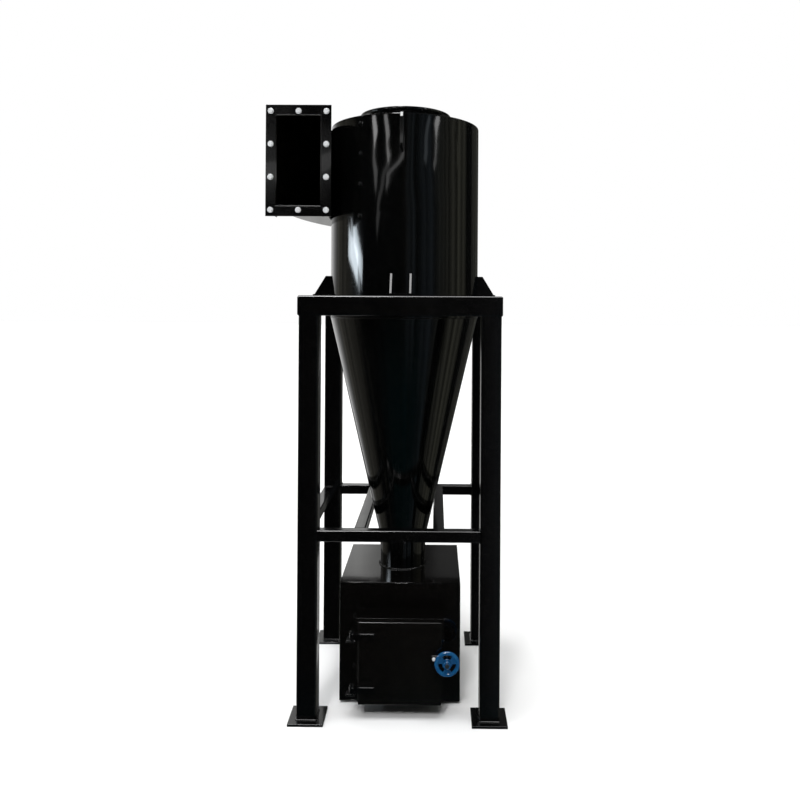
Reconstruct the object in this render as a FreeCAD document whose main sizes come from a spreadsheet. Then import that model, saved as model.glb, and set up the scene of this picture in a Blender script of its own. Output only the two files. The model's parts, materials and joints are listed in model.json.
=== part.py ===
"""Cyclone dust separator on a square tube stand, with a dust box under its cone.

The model stands on the floor at Z = 0, with X to the right, Y to the back and the inlet's mouth,
the dust box's door and its handwheel at the front. The vessel's axis is parallel to Z. Its place
in X puts the origin at the middle of the floor area that the whole separator covers.
"""

import FreeCAD, Part

import math
import os
import re

import Sketcher

Vector = FreeCAD.Vector
UP = Vector(0, 0, 1)

# Driving dimensions, in millimetres and degrees.
SIZES = {
    # stand
    "stand_margin": 75,
    "leg_width": 80,
    "leg_wall": 4,
    "leg_top": 1600,
    "foot_width": 140,
    "foot_thickness": 10,
    "beam_height": 80,
    "beam_depth": 60,
    "beam_wall": 4,
    "beam_overhang": 4,
    "rail_width": 45,
    "rail_wall": 3,
    "rail_rise": 211,
    "bar_gap": 2.75,
    # barrel and cone
    "barrel_radius": 325,
    "shell_wall": 4,
    "barrel_drop": 10,
    "barrel_height": 829,
    "lid_thickness": 6,
    "neck_radius": 100,
    "neck_height": 119,
    # outlet
    "outlet_radius": 162.5,
    "outlet_depth": 434,
    "outlet_rise": 60,
    "outlet_flange_width": 37.5,
    "outlet_flange_thickness": 10,
    "outlet_bolt_margin": 18.5,
    "outlet_bolt_radius": 5,
    # inlet
    "inlet_width": 185,
    "inlet_height": 370,
    "inlet_drop": 10,
    "inlet_slope": 0.082,
    "inlet_mouth_reach": 325,
    "inlet_straight": 28,
    "scroll_end_angle": 137.9,
    "duct_wall": 4,
    "angle_width": 40,
    "angle_thickness": 4,
    "inlet_bolt_margin": 20,
    "inlet_bolt_end": 25.5,
    "inlet_bolt_radius": 6.5,
    # lifting lugs and the brackets that carry the barrel
    "lug_thickness": 10,
    "lug_width": 50,
    "lug_drop": 4,
    "lug_height": 150,
    "lug_chamfer": 22,
    "lug_hole_radius": 11,
    "lug_hole_margin": 25,
    "lug_hole_drop": 38,
    "bracket_width": 104,
    "bracket_thickness": 10,
    "gusset_thickness": 8,
    "gusset_pitch": 78,
    "gusset_height": 80,
    "gusset_foot_margin": 6,
    "gusset_top_width": 20,
    # dust box
    "box_width": 496,
    "box_height": 490,
    "box_wall": 4,
    "box_bottom": 10,
    # throat that the door closes
    "door_offset": 6,
    "throat_width": 352,
    "throat_rise": 39,
    "throat_height": 343,
    "throat_length": 102,
    "throat_wall": 5,
    "throat_chamfer": 16,
    "throat_lip": 25,
    # door
    "door_side_margin": 11,
    "door_bottom_margin": 13,
    "door_top_margin": 4,
    "door_depth": 28.5,
    "door_sheet": 4,
    "door_gap": 0.5,
    # hinges
    "pin_radius": 6,
    "pin_clearance": 0.05,
    "seat_gap": 0.3,
    "pin_offset": 12,
    "knuckle_wall": 6,
    "knuckle_height": 28,
    "strap_height": 20,
    "strap_thickness": 6,
    "strap_length": 86,
    "hinge_inset": 57,
    "ear_thickness": 8,
    "ear_margin": 11,
    "ear_side_reach": 24,
    "ear_back_reach": 73,
    "pin_head_overhang": 4,
    "pin_head_height": 7,
    "pin_tail": 5,
    # latch
    "latch_offset": 11,
    "latch_rise": 189,
    "spindle_radius": 6,
    "spindle_collar_overhang": 5,
    "spindle_collar_length": 5,
    "lug_plate_thickness": 8,
    "lug_plate_height": 40,
    "lug_plate_length": 80,
    "lug_plate_margin": 19,
    "keeper_thickness": 12,
    "keeper_height": 40,
    "keeper_margin": 22,
    "keeper_clearance": 1.5,
    "keeper_set_back": 2,
    # handwheel
    "wheel_radius": 50,
    "wheel_rim_radius": 8,
    "wheel_web_thickness": 7,
    "wheel_hub_wall": 9,
    "wheel_hub_length": 30,
    "wheel_gap": 8,
    "window_margin": 1,
    "window_height": 13,
    "window_half_angle": 30,
    "spindle_nut_overhang": 3,
    "spindle_nut_length": 8,
}

PARTS_FOLDER = "parts"

doc = FreeCAD.newDocument("CycloneSeparator")
sheet = doc.addObject("Spreadsheet::Sheet", "Sizes")
for row, (name, value) in enumerate(SIZES.items(), start=1):
    sheet.set("A%d" % row, str(value))
    sheet.setAlias("A%d" % row, name)
doc.recompute()

# Lengths that follow from the driving dimensions, as formulas of the sheet's names. Reaches are
# measured from the vessel's axis.
FORMULAS = {
    "axis_shift": "((inlet_reach + angle_width - foot_reach) / 2)",
    "leg_reach": "(barrel_radius + stand_margin)",
    "foot_reach": "(leg_reach - leg_width / 2 + foot_width / 2)",
    "beam_reach": "(leg_reach + beam_overhang)",
    "beam_top": "(leg_top + beam_height)",
    "rail_bottom": "(box_top + rail_rise)",
    "rail_share": "((rail_rise + rail_width - neck_height) / (barrel_bottom - cone_bottom))",
    "bar_reach": "(neck_radius + (barrel_radius - neck_radius) * rail_share + bar_gap + rail_width / 2)",
    "barrel_bottom": "(leg_top - barrel_drop)",
    "barrel_top": "(barrel_bottom + barrel_height)",
    "box_top": "(box_bottom + box_height)",
    "cone_bottom": "(box_top + neck_height)",
    "outlet_bottom": "(barrel_top - outlet_depth)",
    "outlet_top": "(barrel_top + outlet_rise)",
    "lug_bottom": "(barrel_top - lug_drop - lug_height)",
    "inlet_reach": "(barrel_radius + inlet_width)",
    "inlet_top": "(barrel_top - inlet_drop)",
    "inlet_bottom": "(inlet_top - inlet_height)",
    "inlet_fold": "(angle_width - inlet_mouth_reach)",
    "inlet_fall": "(inlet_slope * (barrel_radius - inlet_fold))",
    "inlet_lowest": "(inlet_bottom - inlet_fall)",
    "scroll_across": "(inlet_reach + barrel_radius * cos(scroll_end_angle))",
    "scroll_along": "(barrel_radius * sin(scroll_end_angle) - scroll_y)",
    "scroll_radius": "((scroll_across ^ 2 + scroll_along ^ 2) / (2 * scroll_across))",
    "scroll_x": "(scroll_radius - inlet_reach)",
    "scroll_y": "(inlet_straight - inlet_mouth_reach)",
    "box_reach": "(box_width / 2)",
    "box_inner_reach": "(box_width / 2 - box_wall)",
    "throat_left": "(door_offset - throat_width / 2)",
    "throat_right": "(door_offset + throat_width / 2)",
    "throat_bottom": "(box_bottom + throat_rise)",
    "throat_top": "(throat_bottom + throat_height)",
    "throat_front": "(-(box_width / 2 + throat_length))",
    "door_left": "(throat_left + door_side_margin)",
    "door_right": "(throat_right - door_side_margin)",
    "door_bottom": "(throat_bottom + door_bottom_margin)",
    "door_top": "(throat_top - door_top_margin)",
    "door_back": "(throat_front - door_gap)",
    "door_front": "(throat_front - door_gap - door_depth)",
    "knuckle_radius": "(pin_radius + pin_clearance + knuckle_wall)",
    "strap_front": "(door_front - strap_thickness)",
    "pin_x": "(throat_left - pin_offset)",
    "pin_y": "(strap_front + knuckle_radius)",
    "latch_x": "(throat_right + latch_offset)",
    "latch_height": "(throat_bottom + latch_rise)",
    "lug_plate_front": "(door_front - lug_plate_thickness)",
    "keeper_front": "(throat_front - keeper_set_back)",
    "wheel_y": "(lug_plate_front - wheel_gap - wheel_rim_radius)",
    "wheel_front": "(lug_plate_front - seat_gap - wheel_hub_length)",
    "window_outer_radius": "(wheel_radius - 2 * wheel_rim_radius - window_margin)",
    "window_inner_radius": "(window_outer_radius - window_height)",
}
WORD = re.compile(r"[a-z][a-z_]+")


def formula(text):
    """Return text with its derived lengths written out and each sheet name in full."""
    while any(word in FORMULAS for word in WORD.findall(text)):
        text = WORD.sub(lambda found: FORMULAS.get(found.group(), found.group()), text)
    return WORD.sub(lambda found: ("Sizes." if found.group() in SIZES else "") + found.group(), text)


def bind(target, **properties):
    """Bind each named property of an object to a formula; Base_x stands for Placement.Base.x."""
    for name, text in properties.items():
        path = name.replace("Base_", "Placement.Base.")
        target.setExpression(path, formula(text))
    return target


# PartDesign helpers


def new_body(label, bottom="0", turn=0):
    """Start a body whose own origin lies on the vessel's axis, turned about it."""
    body = doc.addObject("PartDesign::Body", label)
    body.Placement = FreeCAD.Placement(Vector(0, 0, 0), FreeCAD.Rotation(UP, turn))
    return bind(body, Base_x="axis_shift", Base_z=bottom)


def plane_of(body, role):
    """Return one of the body's own origin planes."""
    return [part for part in body.Origin.OriginFeatures if part.Role == role][0]


def new_sketch(body, name, plane="XY_Plane", offset=None):
    """Attach a sketch to one of the body's origin planes, offset along the plane's normal."""
    sketch = body.newObject("Sketcher::SketchObject", "%s_%s" % (body.Label, name))
    sketch.AttachmentSupport = (plane_of(body, plane), [""])
    sketch.MapMode = "FlatFace"
    if offset:
        sketch.setExpression("AttachmentOffset.Base.z", formula(offset))
    return sketch


def constrain(sketch, text, *arguments):
    """Add a dimension that starts from its last argument and follows a formula."""
    index = sketch.addConstraint(Sketcher.Constraint(*arguments))
    sketch.setExpression("Constraints[%d]" % index, formula(text))


def place_along(sketch, geometry, end, along):
    """Fix the height of one end of a line or arc in the sketch."""
    constrain(sketch, along, "DistanceY", -1, 1, geometry, end, sketch.getPoint(geometry, end).y)


def place_point(sketch, geometry, end, across, along):
    """Fix one end of a line or arc at a point of the sketch."""
    constrain(sketch, across, "DistanceX", -1, 1, geometry, end, sketch.getPoint(geometry, end).x)
    place_along(sketch, geometry, end, along)


def draw_polygon(sketch, corners):
    """Draw a closed outline of straight edges through the corners, each an (x, y) of formulas."""
    count = len(corners)
    first = sketch.GeometryCount
    spots = [Vector(math.cos(math.tau * i / count), math.sin(math.tau * i / count), 0) for i in range(count)]
    for i in range(count):
        sketch.addGeometry(Part.LineSegment(spots[i], spots[(i + 1) % count]), False)
    for i, (across, along) in enumerate(corners):
        follower = first + (i + 1) % count
        sketch.addConstraint(Sketcher.Constraint("Coincident", first + i, 2, follower, 1))
        place_point(sketch, first + i, 1, across, along)
    return sketch


def draw_rectangle(sketch, left, right, bottom, top):
    """Draw a rectangle between four formulas."""
    return draw_polygon(sketch, [(left, bottom), (right, bottom), (right, top), (left, top)])


def draw_circle(sketch, radius, across="0", along="0"):
    """Draw a circle of a given radius at a point of the sketch."""
    index = sketch.addGeometry(Part.Circle(Vector(0, 0, 0), UP, 1.0), False)
    place_point(sketch, index, 3, across, along)
    constrain(sketch, radius, "Radius", index, 1.0)
    return sketch


def extrude(kind, body, sketch, length, reverse=False, centred=False):
    """Pad or pocket a sketch by a length; centred spreads it to both sides of the sketch."""
    feature = body.newObject("PartDesign::" + kind, "%s_%s" % (sketch.Name, kind.lower()))
    feature.Profile = sketch
    feature.Reversed = reverse
    feature.Midplane = centred
    feature.setExpression("Length", formula(length))
    sketch.Visibility = False
    return feature


def pad(body, sketch, length, reverse=False, centred=False):
    """Grow material from a sketch."""
    return extrude("Pad", body, sketch, length, reverse, centred)


def cut(body, sketch, length, reverse=False, centred=False):
    """Cut a sketch out of the body, and stop if nothing was removed."""
    doc.recompute()
    before = body.Shape.Volume
    feature = extrude("Pocket", body, sketch, length, reverse, centred)
    doc.recompute()
    if body.Shape.Volume > before - 1:
        raise ValueError("%s cuts nothing out of %s" % (sketch.Name, body.Label))
    return feature


def revolve(body, sketch):
    """Turn a sketch all the way round its own upright axis."""
    feature = body.newObject("PartDesign::Revolution", sketch.Name + "_turned")
    feature.Profile = sketch
    feature.ReferenceAxis = (sketch, ["V_Axis"])
    feature.Angle = 360
    return feature


def repeat_round(body, feature, sketch, count):
    """Repeat a feature evenly round the normal of the sketch that made it."""
    pattern = body.newObject("PartDesign::PolarPattern", feature.Name + "_pattern")
    pattern.Originals = [feature]
    pattern.Axis = (sketch, ["N_Axis"])
    pattern.Angle = 360
    pattern.Occurrences = count
    body.Tip = pattern
    return pattern


# Part helpers


def box(label, left, front, bottom, width, depth, height):
    """Make a plate or block from the corner with its lowest X, Y and Z, in the vessel's frame."""
    block = doc.addObject("Part::Box", label)
    bind(block, Length=width, Width=depth, Height=height)
    return bind(block, Base_x="axis_shift + %s" % left, Base_y=front, Base_z=bottom)


def group(label, members):
    """Hold like pieces that don't touch in one part."""
    bundle = doc.addObject("Part::Compound", label)
    bundle.Links = members
    return bundle


def square_tube(label, along, left, front, bottom, width, wall, length):
    """Make a square tube along X, Y or Z, from the lowest corner of its outer face."""
    outer_spans = [width] * 3
    inner_spans = ["%s - 2 * %s" % (width, wall)] * 3
    shifts = [wall] * 3
    index = "XYZ".index(along)
    outer_spans[index] = inner_spans[index] = length
    shifts[index] = "0"
    corner = (left, front, bottom)
    outer = box(label + "_outside", *corner, *outer_spans)
    hollow = box(label + "_hollow", *["%s + %s" % pair for pair in zip(corner, shifts)], *inner_spans)
    tube = doc.addObject("Part::Cut", label)
    tube.Base = outer
    tube.Tool = hollow
    return tube


# Stand


def make_leg(label, turn):
    """A square tube leg, standing on its foot plate at a corner of the stand."""
    body = new_body(label, "foot_thickness", turn)
    section = new_sketch(body, "section")
    draw_rectangle(section, "-leg_reach", "-leg_reach + leg_width", "-leg_reach", "-leg_reach + leg_width")
    wall = "-leg_reach + leg_wall"
    far_wall = "-leg_reach + leg_width - leg_wall"
    draw_rectangle(section, wall, far_wall, wall, far_wall)
    pad(body, section, "leg_top - foot_thickness")
    return body


def make_foot_plates():
    """Four square plates under the legs."""
    plates = []
    for side_x in (-1, 1):
        for side_y in (-1, 1):
            left = "%d * (leg_reach - leg_width / 2) - foot_width / 2" % side_x
            front = "%d * (leg_reach - leg_width / 2) - foot_width / 2" % side_y
            label = "foot_plate_%d" % (len(plates) + 1)
            plates.append(box(label, left, front, "0", "foot_width", "foot_width", "foot_thickness"))
    return group("foot_plates", plates)


def make_beam(label, turn):
    """A rectangular tube of the top ring, mitred at both ends."""
    body = new_body(label, "leg_top + beam_height / 2", turn)
    outline = new_sketch(body, "outline")
    inner_reach = "(beam_reach - beam_depth)"
    draw_polygon(outline, [("-beam_reach", "-beam_reach"), ("beam_reach", "-beam_reach"),
                           (inner_reach, "-" + inner_reach), ("-" + inner_reach, "-" + inner_reach)])
    pad(body, outline, "beam_height", centred=True)
    hollow = new_sketch(body, "hollow")
    near = "(beam_reach - beam_wall)"
    far = "(beam_reach - beam_depth + beam_wall)"
    draw_polygon(hollow, [("-" + near, "-" + near), (near, "-" + near), (far, "-" + far), ("-" + far, "-" + far)])
    cut(body, hollow, "beam_height - 2 * beam_wall", centred=True)
    return body


def make_rails_and_bars():
    """Four rails between the legs at mid height, and two bars that flank the cone."""
    rail_length = "2 * (leg_reach - leg_width)"
    start = "-(leg_reach - leg_width)"
    low, high = "-leg_reach", "leg_reach - rail_width"
    section = ("rail_bottom", "rail_width", "rail_wall", rail_length)
    rails = [
        square_tube("rail_front", "X", start, low, *section),
        square_tube("rail_back", "X", start, high, *section),
        square_tube("rail_left", "Y", low, start, *section),
        square_tube("rail_right", "Y", high, start, *section),
    ]
    bar_length = "2 * (leg_reach - rail_width)"
    bar_start = "-(leg_reach - rail_width)"
    bars = []
    for side, name in ((-1, "bar_left"), (1, "bar_right")):
        left = "%d * bar_reach - rail_width / 2" % side
        bars.append(square_tube(name, "Y", left, bar_start, "rail_bottom", "rail_width", "rail_wall", bar_length))
    return [group("mid_rails", rails), group("cone_bars", bars)]


def make_stand():
    """The stand: legs, foot plates, top beams, mid rails and cone bars."""
    parts = [make_foot_plates()]
    corners = ("front_left", "front_right", "back_right", "back_left")
    sides = ("front", "right", "back", "left")
    for quarter in range(4):
        parts.append(make_leg("leg_" + corners[quarter], 90 * quarter))
        parts.append(make_beam("top_beam_" + sides[quarter], 90 * quarter))
    return parts + make_rails_and_bars()


# Vessel


def ring(label, bottom, height, outer, inner):
    """A round ring or pipe about the vessel's axis."""
    body = new_body(label, bottom)
    section = new_sketch(body, "section")
    draw_circle(section, outer)
    draw_circle(section, inner)
    pad(body, section, height)
    return body


def floor_height(along):
    """The height of the inlet's sloping floor at a distance along Y, above its lowest point."""
    return "inlet_slope * (barrel_radius - %s)" % along


def cut_to_floor(body):
    """Cut away what lies under the inlet's floor, which is level at the mouth and then slopes down."""
    under = new_sketch(body, "under", "YZ_Plane")
    front = "-1.1 * inlet_mouth_reach"
    back = "1.1 * barrel_radius"
    draw_polygon(under, [(front, "-inlet_fall"), (back, "-inlet_fall"), (back, floor_height(back)),
                         ("inlet_fold", "inlet_fall"), (front, "inlet_fall")])
    cut(body, under, "4 * inlet_reach", centred=True)
    return body


def port_angle():
    """The angle, anticlockwise from +X, at which the scroll's inner face meets the barrel."""
    across = "(barrel_radius ^ 2 + scroll_x ^ 2 + scroll_y ^ 2 - (scroll_radius - duct_wall) ^ 2)"
    reach = "(2 * barrel_radius * sqrt(scroll_x ^ 2 + scroll_y ^ 2))"
    return "(atan2(scroll_y; scroll_x) - acos(%s / %s))" % (across, reach)


def make_barrel():
    """The rolled barrel, open on its left where the scroll leads the gas in."""
    height = "barrel_top - lid_thickness - barrel_bottom"
    body = ring("barrel", "barrel_bottom", height, "barrel_radius", "barrel_radius - shell_wall")
    port = new_sketch(body, "port", "YZ_Plane")
    far = "barrel_radius * sin(%s)" % port_angle()
    sill = "inlet_lowest + duct_wall - barrel_bottom + "
    top = "inlet_top - duct_wall - barrel_bottom"
    draw_polygon(port, [("0", sill + floor_height("0")), (far, sill + floor_height(far)), (far, top), ("0", top)])
    cut(body, port, "1.5 * barrel_radius")
    return body


def make_cone():
    """The cone, from the barrel's width down to the neck's."""
    body = new_body("cone", "cone_bottom")
    profile = new_sketch(body, "profile", "XZ_Plane")
    height = "barrel_bottom - cone_bottom"
    draw_polygon(profile, [("neck_radius - shell_wall", "0"), ("neck_radius", "0"),
                           ("barrel_radius", height), ("barrel_radius - shell_wall", height)])
    revolve(body, profile)
    return body


def make_outlet_flange():
    """The round flange at the top of the outlet pipe, with its bolt holes."""
    bottom = "outlet_top - outlet_flange_thickness"
    body = ring("outlet_flange", bottom, "outlet_flange_thickness", "outlet_radius + outlet_flange_width", "outlet_radius")
    hole = draw_circle(new_sketch(body, "hole"), "outlet_bolt_radius", "outlet_radius + outlet_bolt_margin")
    feature = cut(body, hole, "outlet_flange_thickness", reverse=True)
    repeat_round(body, feature, hole, 8)
    return body


def make_lifting_lug(label, turn):
    """An upright plate on the barrel with a hole for a lifting hook."""
    body = new_body(label, "lug_bottom", turn)
    outline = new_sketch(body, "outline", "YZ_Plane")
    edge = "-(barrel_radius + lug_width)"
    shoulder = edge + " + lug_chamfer"
    draw_polygon(outline, [("-barrel_radius * 0.9", "0"), (shoulder, "0"), (edge, "lug_chamfer"),
                           (edge, "lug_height - lug_chamfer"), (shoulder, "lug_height"),
                           ("-barrel_radius * 0.9", "lug_height")])
    pad(body, outline, "lug_thickness", centred=True)
    hole = draw_circle(new_sketch(body, "hole", "YZ_Plane"), "lug_hole_radius",
                       "-(barrel_radius + lug_hole_margin)", "lug_height - lug_hole_drop")
    cut(body, hole, "2 * lug_thickness", centred=True)
    cut(body, draw_circle(new_sketch(body, "seat"), "barrel_radius"), "2 * lug_height", centred=True)
    return body


def make_bracket(label, turn):
    """Two gussets on a base plate that carry one side of the barrel on a top beam."""
    body = new_body(label, "beam_top", turn)
    base = new_sketch(body, "base")
    start = "-barrel_radius * 0.9"
    draw_rectangle(base, "-bracket_width / 2", "bracket_width / 2", "-leg_reach", start)
    pad(body, base, "bracket_thickness")
    gusset = new_sketch(body, "gusset", "YZ_Plane", "(gusset_pitch - gusset_thickness) / 2")
    top = "bracket_thickness + gusset_height"
    draw_polygon(gusset, [("-(leg_reach - gusset_foot_margin)", "bracket_thickness"), (start, "bracket_thickness"),
                          (start, top), ("-(barrel_radius + gusset_top_width)", top)])
    feature = pad(body, gusset, "gusset_thickness")
    mirror = body.newObject("PartDesign::Mirrored", label + "_gusset_pair")
    mirror.Originals = [feature]
    mirror.MirrorPlane = (plane_of(body, "YZ_Plane"), [""])
    body.Tip = mirror
    cut(body, draw_circle(new_sketch(body, "seat"), "barrel_radius"), "3 * (%s)" % top, centred=True)
    return body


def make_vessel():
    """Barrel, lid, cone, neck, outlet, lifting lugs and brackets."""
    parts = [make_barrel(), make_cone(), make_outlet_flange()]
    parts.append(ring("barrel_top_plate", "barrel_top - lid_thickness", "lid_thickness",
                      "barrel_radius", "outlet_radius"))
    parts.append(ring("cone_neck", "box_top", "cone_bottom - box_top", "neck_radius", "neck_radius - shell_wall"))
    parts.append(ring("outlet_pipe", "outlet_bottom", "outlet_top - outlet_bottom",
                      "outlet_radius", "outlet_radius - shell_wall"))
    parts.append(make_lifting_lug("lifting_lug_front", 0))
    parts.append(make_lifting_lug("lifting_lug_back", 180))
    for quarter, side in enumerate(("front", "right", "back", "left")):
        parts.append(make_bracket("bracket_" + side, 90 * quarter))
    return parts


# Inlet


def cell(name):
    """Return a driving dimension's value."""
    return float(sheet.get(name))


def scroll_centre():
    """Return the centre and radius of the scroll, which bends from the mouth onto the barrel."""
    end = math.radians(cell("scroll_end_angle"))
    reach = cell("barrel_radius") + cell("inlet_width")
    start = cell("inlet_straight") - cell("inlet_mouth_reach")
    across = reach + cell("barrel_radius") * math.cos(end)
    along = cell("barrel_radius") * math.sin(end) - start
    radius = (across ** 2 + along ** 2) / (2 * across)
    return Vector(radius - reach, start, 0), radius


def meeting_point(centre, radius):
    """Where a circle about the scroll's centre meets the barrel, on the barrel's left."""
    barrel = cell("barrel_radius")
    cosine = (barrel ** 2 + centre.Length ** 2 - radius ** 2) / (2 * barrel * centre.Length)
    angle = math.atan2(centre.y, centre.x) - math.acos(cosine)
    return Vector(barrel * math.cos(angle), barrel * math.sin(angle), 0)


def arc_between(centre, start, end):
    """An anticlockwise arc about a centre, and its two angles."""
    angles = [math.atan2(point.y - centre.y, point.x - centre.x) for point in (start, end)]
    circle = Part.Circle(centre, UP, (start - centre).Length)
    return Part.ArcOfCircle(circle, angles[0], angles[1])


def add_arc(sketch, centre, start, end, radius, centre_at):
    """Add an anticlockwise arc whose centre and radius follow the sheet."""
    index = sketch.addGeometry(arc_between(centre, start, end), False)
    place_point(sketch, index, 3, *centre_at)
    constrain(sketch, radius, "Radius", index, (start - centre).Length)
    return index


def join(sketch, ends):
    """Make pairs of ends meet, each a pair of (geometry, end)."""
    for one, other in ends:
        sketch.addConstraint(Sketcher.Constraint("Coincident", *one, *other))


SCROLL_CENTRE = ("scroll_x", "scroll_y")
AXIS = ("0", "0")


def make_scroll_wall():
    """The inlet's curved outer wall, straight at the mouth and ending on the barrel."""
    body = new_body("inlet_outer_wall", "inlet_lowest + duct_wall")
    plan = new_sketch(body, "plan")
    wall = cell("duct_wall")
    centre, outer_radius = scroll_centre()
    outer_end = meeting_point(centre, outer_radius)
    inner_end = meeting_point(centre, outer_radius - wall)
    outer_start = Vector(centre.x - outer_radius, centre.y, 0)
    inner_start = Vector(outer_start.x + wall, centre.y, 0)
    mouth = Vector(0, -cell("inlet_straight"), 0)
    outer = add_arc(plan, centre, outer_end, outer_start, "scroll_radius", SCROLL_CENTRE)
    inner = add_arc(plan, centre, inner_end, inner_start, "scroll_radius - duct_wall", SCROLL_CENTRE)
    seat = add_arc(plan, Vector(0, 0, 0), outer_end, inner_end, "barrel_radius", AXIS)
    edges = [(outer_start, outer_start + mouth), (outer_start + mouth, inner_start + mouth),
             (inner_start + mouth, inner_start)]
    outside, front, inside = [plan.addGeometry(Part.LineSegment(*edge), False) for edge in edges]
    join(plan, [((seat, 1), (outer, 1)), ((outer, 2), (outside, 1)), ((outside, 2), (front, 1)),
                ((front, 2), (inside, 1)), ((inside, 2), (inner, 2)), ((inner, 1), (seat, 2))])
    place_point(plan, outside, 2, "-inlet_reach", "-inlet_mouth_reach")
    place_along(plan, outside, 1, "scroll_y")
    place_point(plan, inside, 1, "-inlet_reach + duct_wall", "-inlet_mouth_reach")
    place_along(plan, inside, 2, "scroll_y")
    pad(body, plan, "inlet_height - 2 * duct_wall + inlet_fall")
    return cut_to_floor(body)


def make_inner_wall():
    """The inlet's flat inner wall, which meets the barrel at a tangent."""
    body = new_body("inlet_inner_wall", "inlet_lowest + duct_wall")
    plan = new_sketch(body, "plan")
    draw_rectangle(plan, "-barrel_radius - duct_wall", "-barrel_radius", "-inlet_mouth_reach", "0")
    pad(body, plan, "inlet_height - 2 * duct_wall + inlet_fall")
    return cut_to_floor(body)


def make_duct_plate(label, bottom, height="duct_wall"):
    """The plan of the inlet and its scroll, for the plates that close them at the top and the bottom."""
    body = new_body(label, bottom)
    plan = new_sketch(body, "plan")
    centre, radius = scroll_centre()
    outer_end = meeting_point(centre, radius)
    outer_start = Vector(centre.x - radius, centre.y, 0)
    mouth = Vector(0, -cell("inlet_straight"), 0)
    tangent = Vector(-cell("barrel_radius"), 0, 0)
    corner = Vector(tangent.x, -cell("inlet_mouth_reach"), 0)
    outer = add_arc(plan, centre, outer_end, outer_start, "scroll_radius", SCROLL_CENTRE)
    seat = add_arc(plan, Vector(0, 0, 0), outer_end, tangent, "barrel_radius", AXIS)
    edges = [(outer_start, outer_start + mouth), (outer_start + mouth, corner), (corner, tangent)]
    outside, front, inside = [plan.addGeometry(Part.LineSegment(*edge), False) for edge in edges]
    join(plan, [((seat, 1), (outer, 1)), ((outer, 2), (outside, 1)), ((outside, 2), (front, 1)),
                ((front, 2), (inside, 1)), ((inside, 2), (seat, 2))])
    place_point(plan, outside, 2, "-inlet_reach", "-inlet_mouth_reach")
    place_along(plan, outside, 1, "scroll_y")
    place_point(plan, inside, 1, "-barrel_radius", "-inlet_mouth_reach")
    place_along(plan, inside, 2, "0")
    pad(body, plan, height)
    return body


def make_floor_plate():
    """The inlet's floor, level at the mouth and then sloping down towards the back."""
    body = make_duct_plate("inlet_bottom_plate", "inlet_lowest", "inlet_fall + duct_wall")
    over = new_sketch(body, "over", "YZ_Plane")
    front = "-1.1 * inlet_mouth_reach"
    back = "1.1 * barrel_radius"
    draw_polygon(over, [(front, "inlet_fall + duct_wall"), ("inlet_fold", "inlet_fall + duct_wall"),
                        (back, floor_height(back) + " + duct_wall"), (back, "2 * inlet_fall"), (front, "2 * inlet_fall")])
    cut(body, over, "4 * inlet_reach", centred=True)
    return cut_to_floor(body)


def make_upright_angle(label, side):
    """A full-height angle at one side of the inlet's mouth, with four bolt holes."""
    body = new_body(label, "inlet_bottom - angle_width")
    section = new_sketch(body, "section")
    wall = {-1: "-inlet_reach", 1: "-barrel_radius"}[side]
    edge = "%s + %d * angle_width" % (wall, side)
    inside = "%s + %d * angle_thickness" % (wall, side)
    mouth = "-inlet_mouth_reach"
    behind_leg = mouth + " + angle_thickness"
    back = mouth + " + angle_width"
    draw_polygon(section, [(wall, mouth), (edge, mouth), (edge, behind_leg),
                           (inside, behind_leg), (inside, back), (wall, back)])
    pad(body, section, "inlet_height + 2 * angle_width")
    pitch = "(inlet_height + 2 * angle_width - 2 * inlet_bolt_end) / 3"
    holes = new_sketch(body, "holes", "XZ_Plane", "inlet_mouth_reach - angle_thickness / 2")
    across = "%s + %d * (angle_width - inlet_bolt_margin)" % (wall, side)
    for step in range(4):
        draw_circle(holes, "inlet_bolt_radius", across, "inlet_bolt_end + %d * %s" % (step, pitch))
    cut(body, holes, "2 * angle_thickness", centred=True)
    return body


def make_cross_angle(label, side):
    """A short angle over or under the inlet's mouth, between the uprights, with one bolt hole."""
    wall = {-1: "inlet_bottom", 1: "inlet_top"}[side]
    body = new_body(label, wall)
    section = new_sketch(body, "section", "YZ_Plane", "-inlet_reach")
    mouth = "-inlet_mouth_reach"
    behind_leg = mouth + " + angle_thickness"
    edge = "%d * angle_width" % side
    outside = "%d * angle_thickness" % side
    draw_polygon(section, [(mouth, "0"), (mouth, edge), (behind_leg, edge), (behind_leg, outside),
                           (mouth + " + angle_width", outside), (mouth + " + angle_width", "0")])
    pad(body, section, "inlet_width")
    hole = new_sketch(body, "hole", "XZ_Plane", "inlet_mouth_reach - angle_thickness / 2")
    above = "%d * (angle_width - inlet_bolt_end)" % side
    draw_circle(hole, "inlet_bolt_radius", "-inlet_reach + inlet_width / 2", above)
    cut(body, hole, "2 * angle_thickness", centred=True)
    return body


def make_inlet():
    """The tangential inlet: two walls, two plates and the angle frame at its mouth."""
    return [
        make_scroll_wall(),
        make_inner_wall(),
        make_floor_plate(),
        make_duct_plate("inlet_top_plate", "inlet_top - duct_wall"),
        make_upright_angle("inlet_flange_left", -1),
        make_upright_angle("inlet_flange_right", 1),
        make_cross_angle("inlet_flange_bottom", -1),
        make_cross_angle("inlet_flange_top", 1),
    ]


# Dust box


def chamfered_outline(inset):
    """The throat's outline, cut off at its two lower corners, drawn in by an inset."""
    left = "throat_left + " + inset
    right = "throat_right - " + inset
    bottom = "throat_bottom + " + inset
    top = "throat_top - " + inset
    return [(left + " + throat_chamfer", bottom), (right + " - throat_chamfer", bottom),
            (right, bottom + " + throat_chamfer"), (right, top), (left, top), (left, bottom + " + throat_chamfer")]


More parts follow.
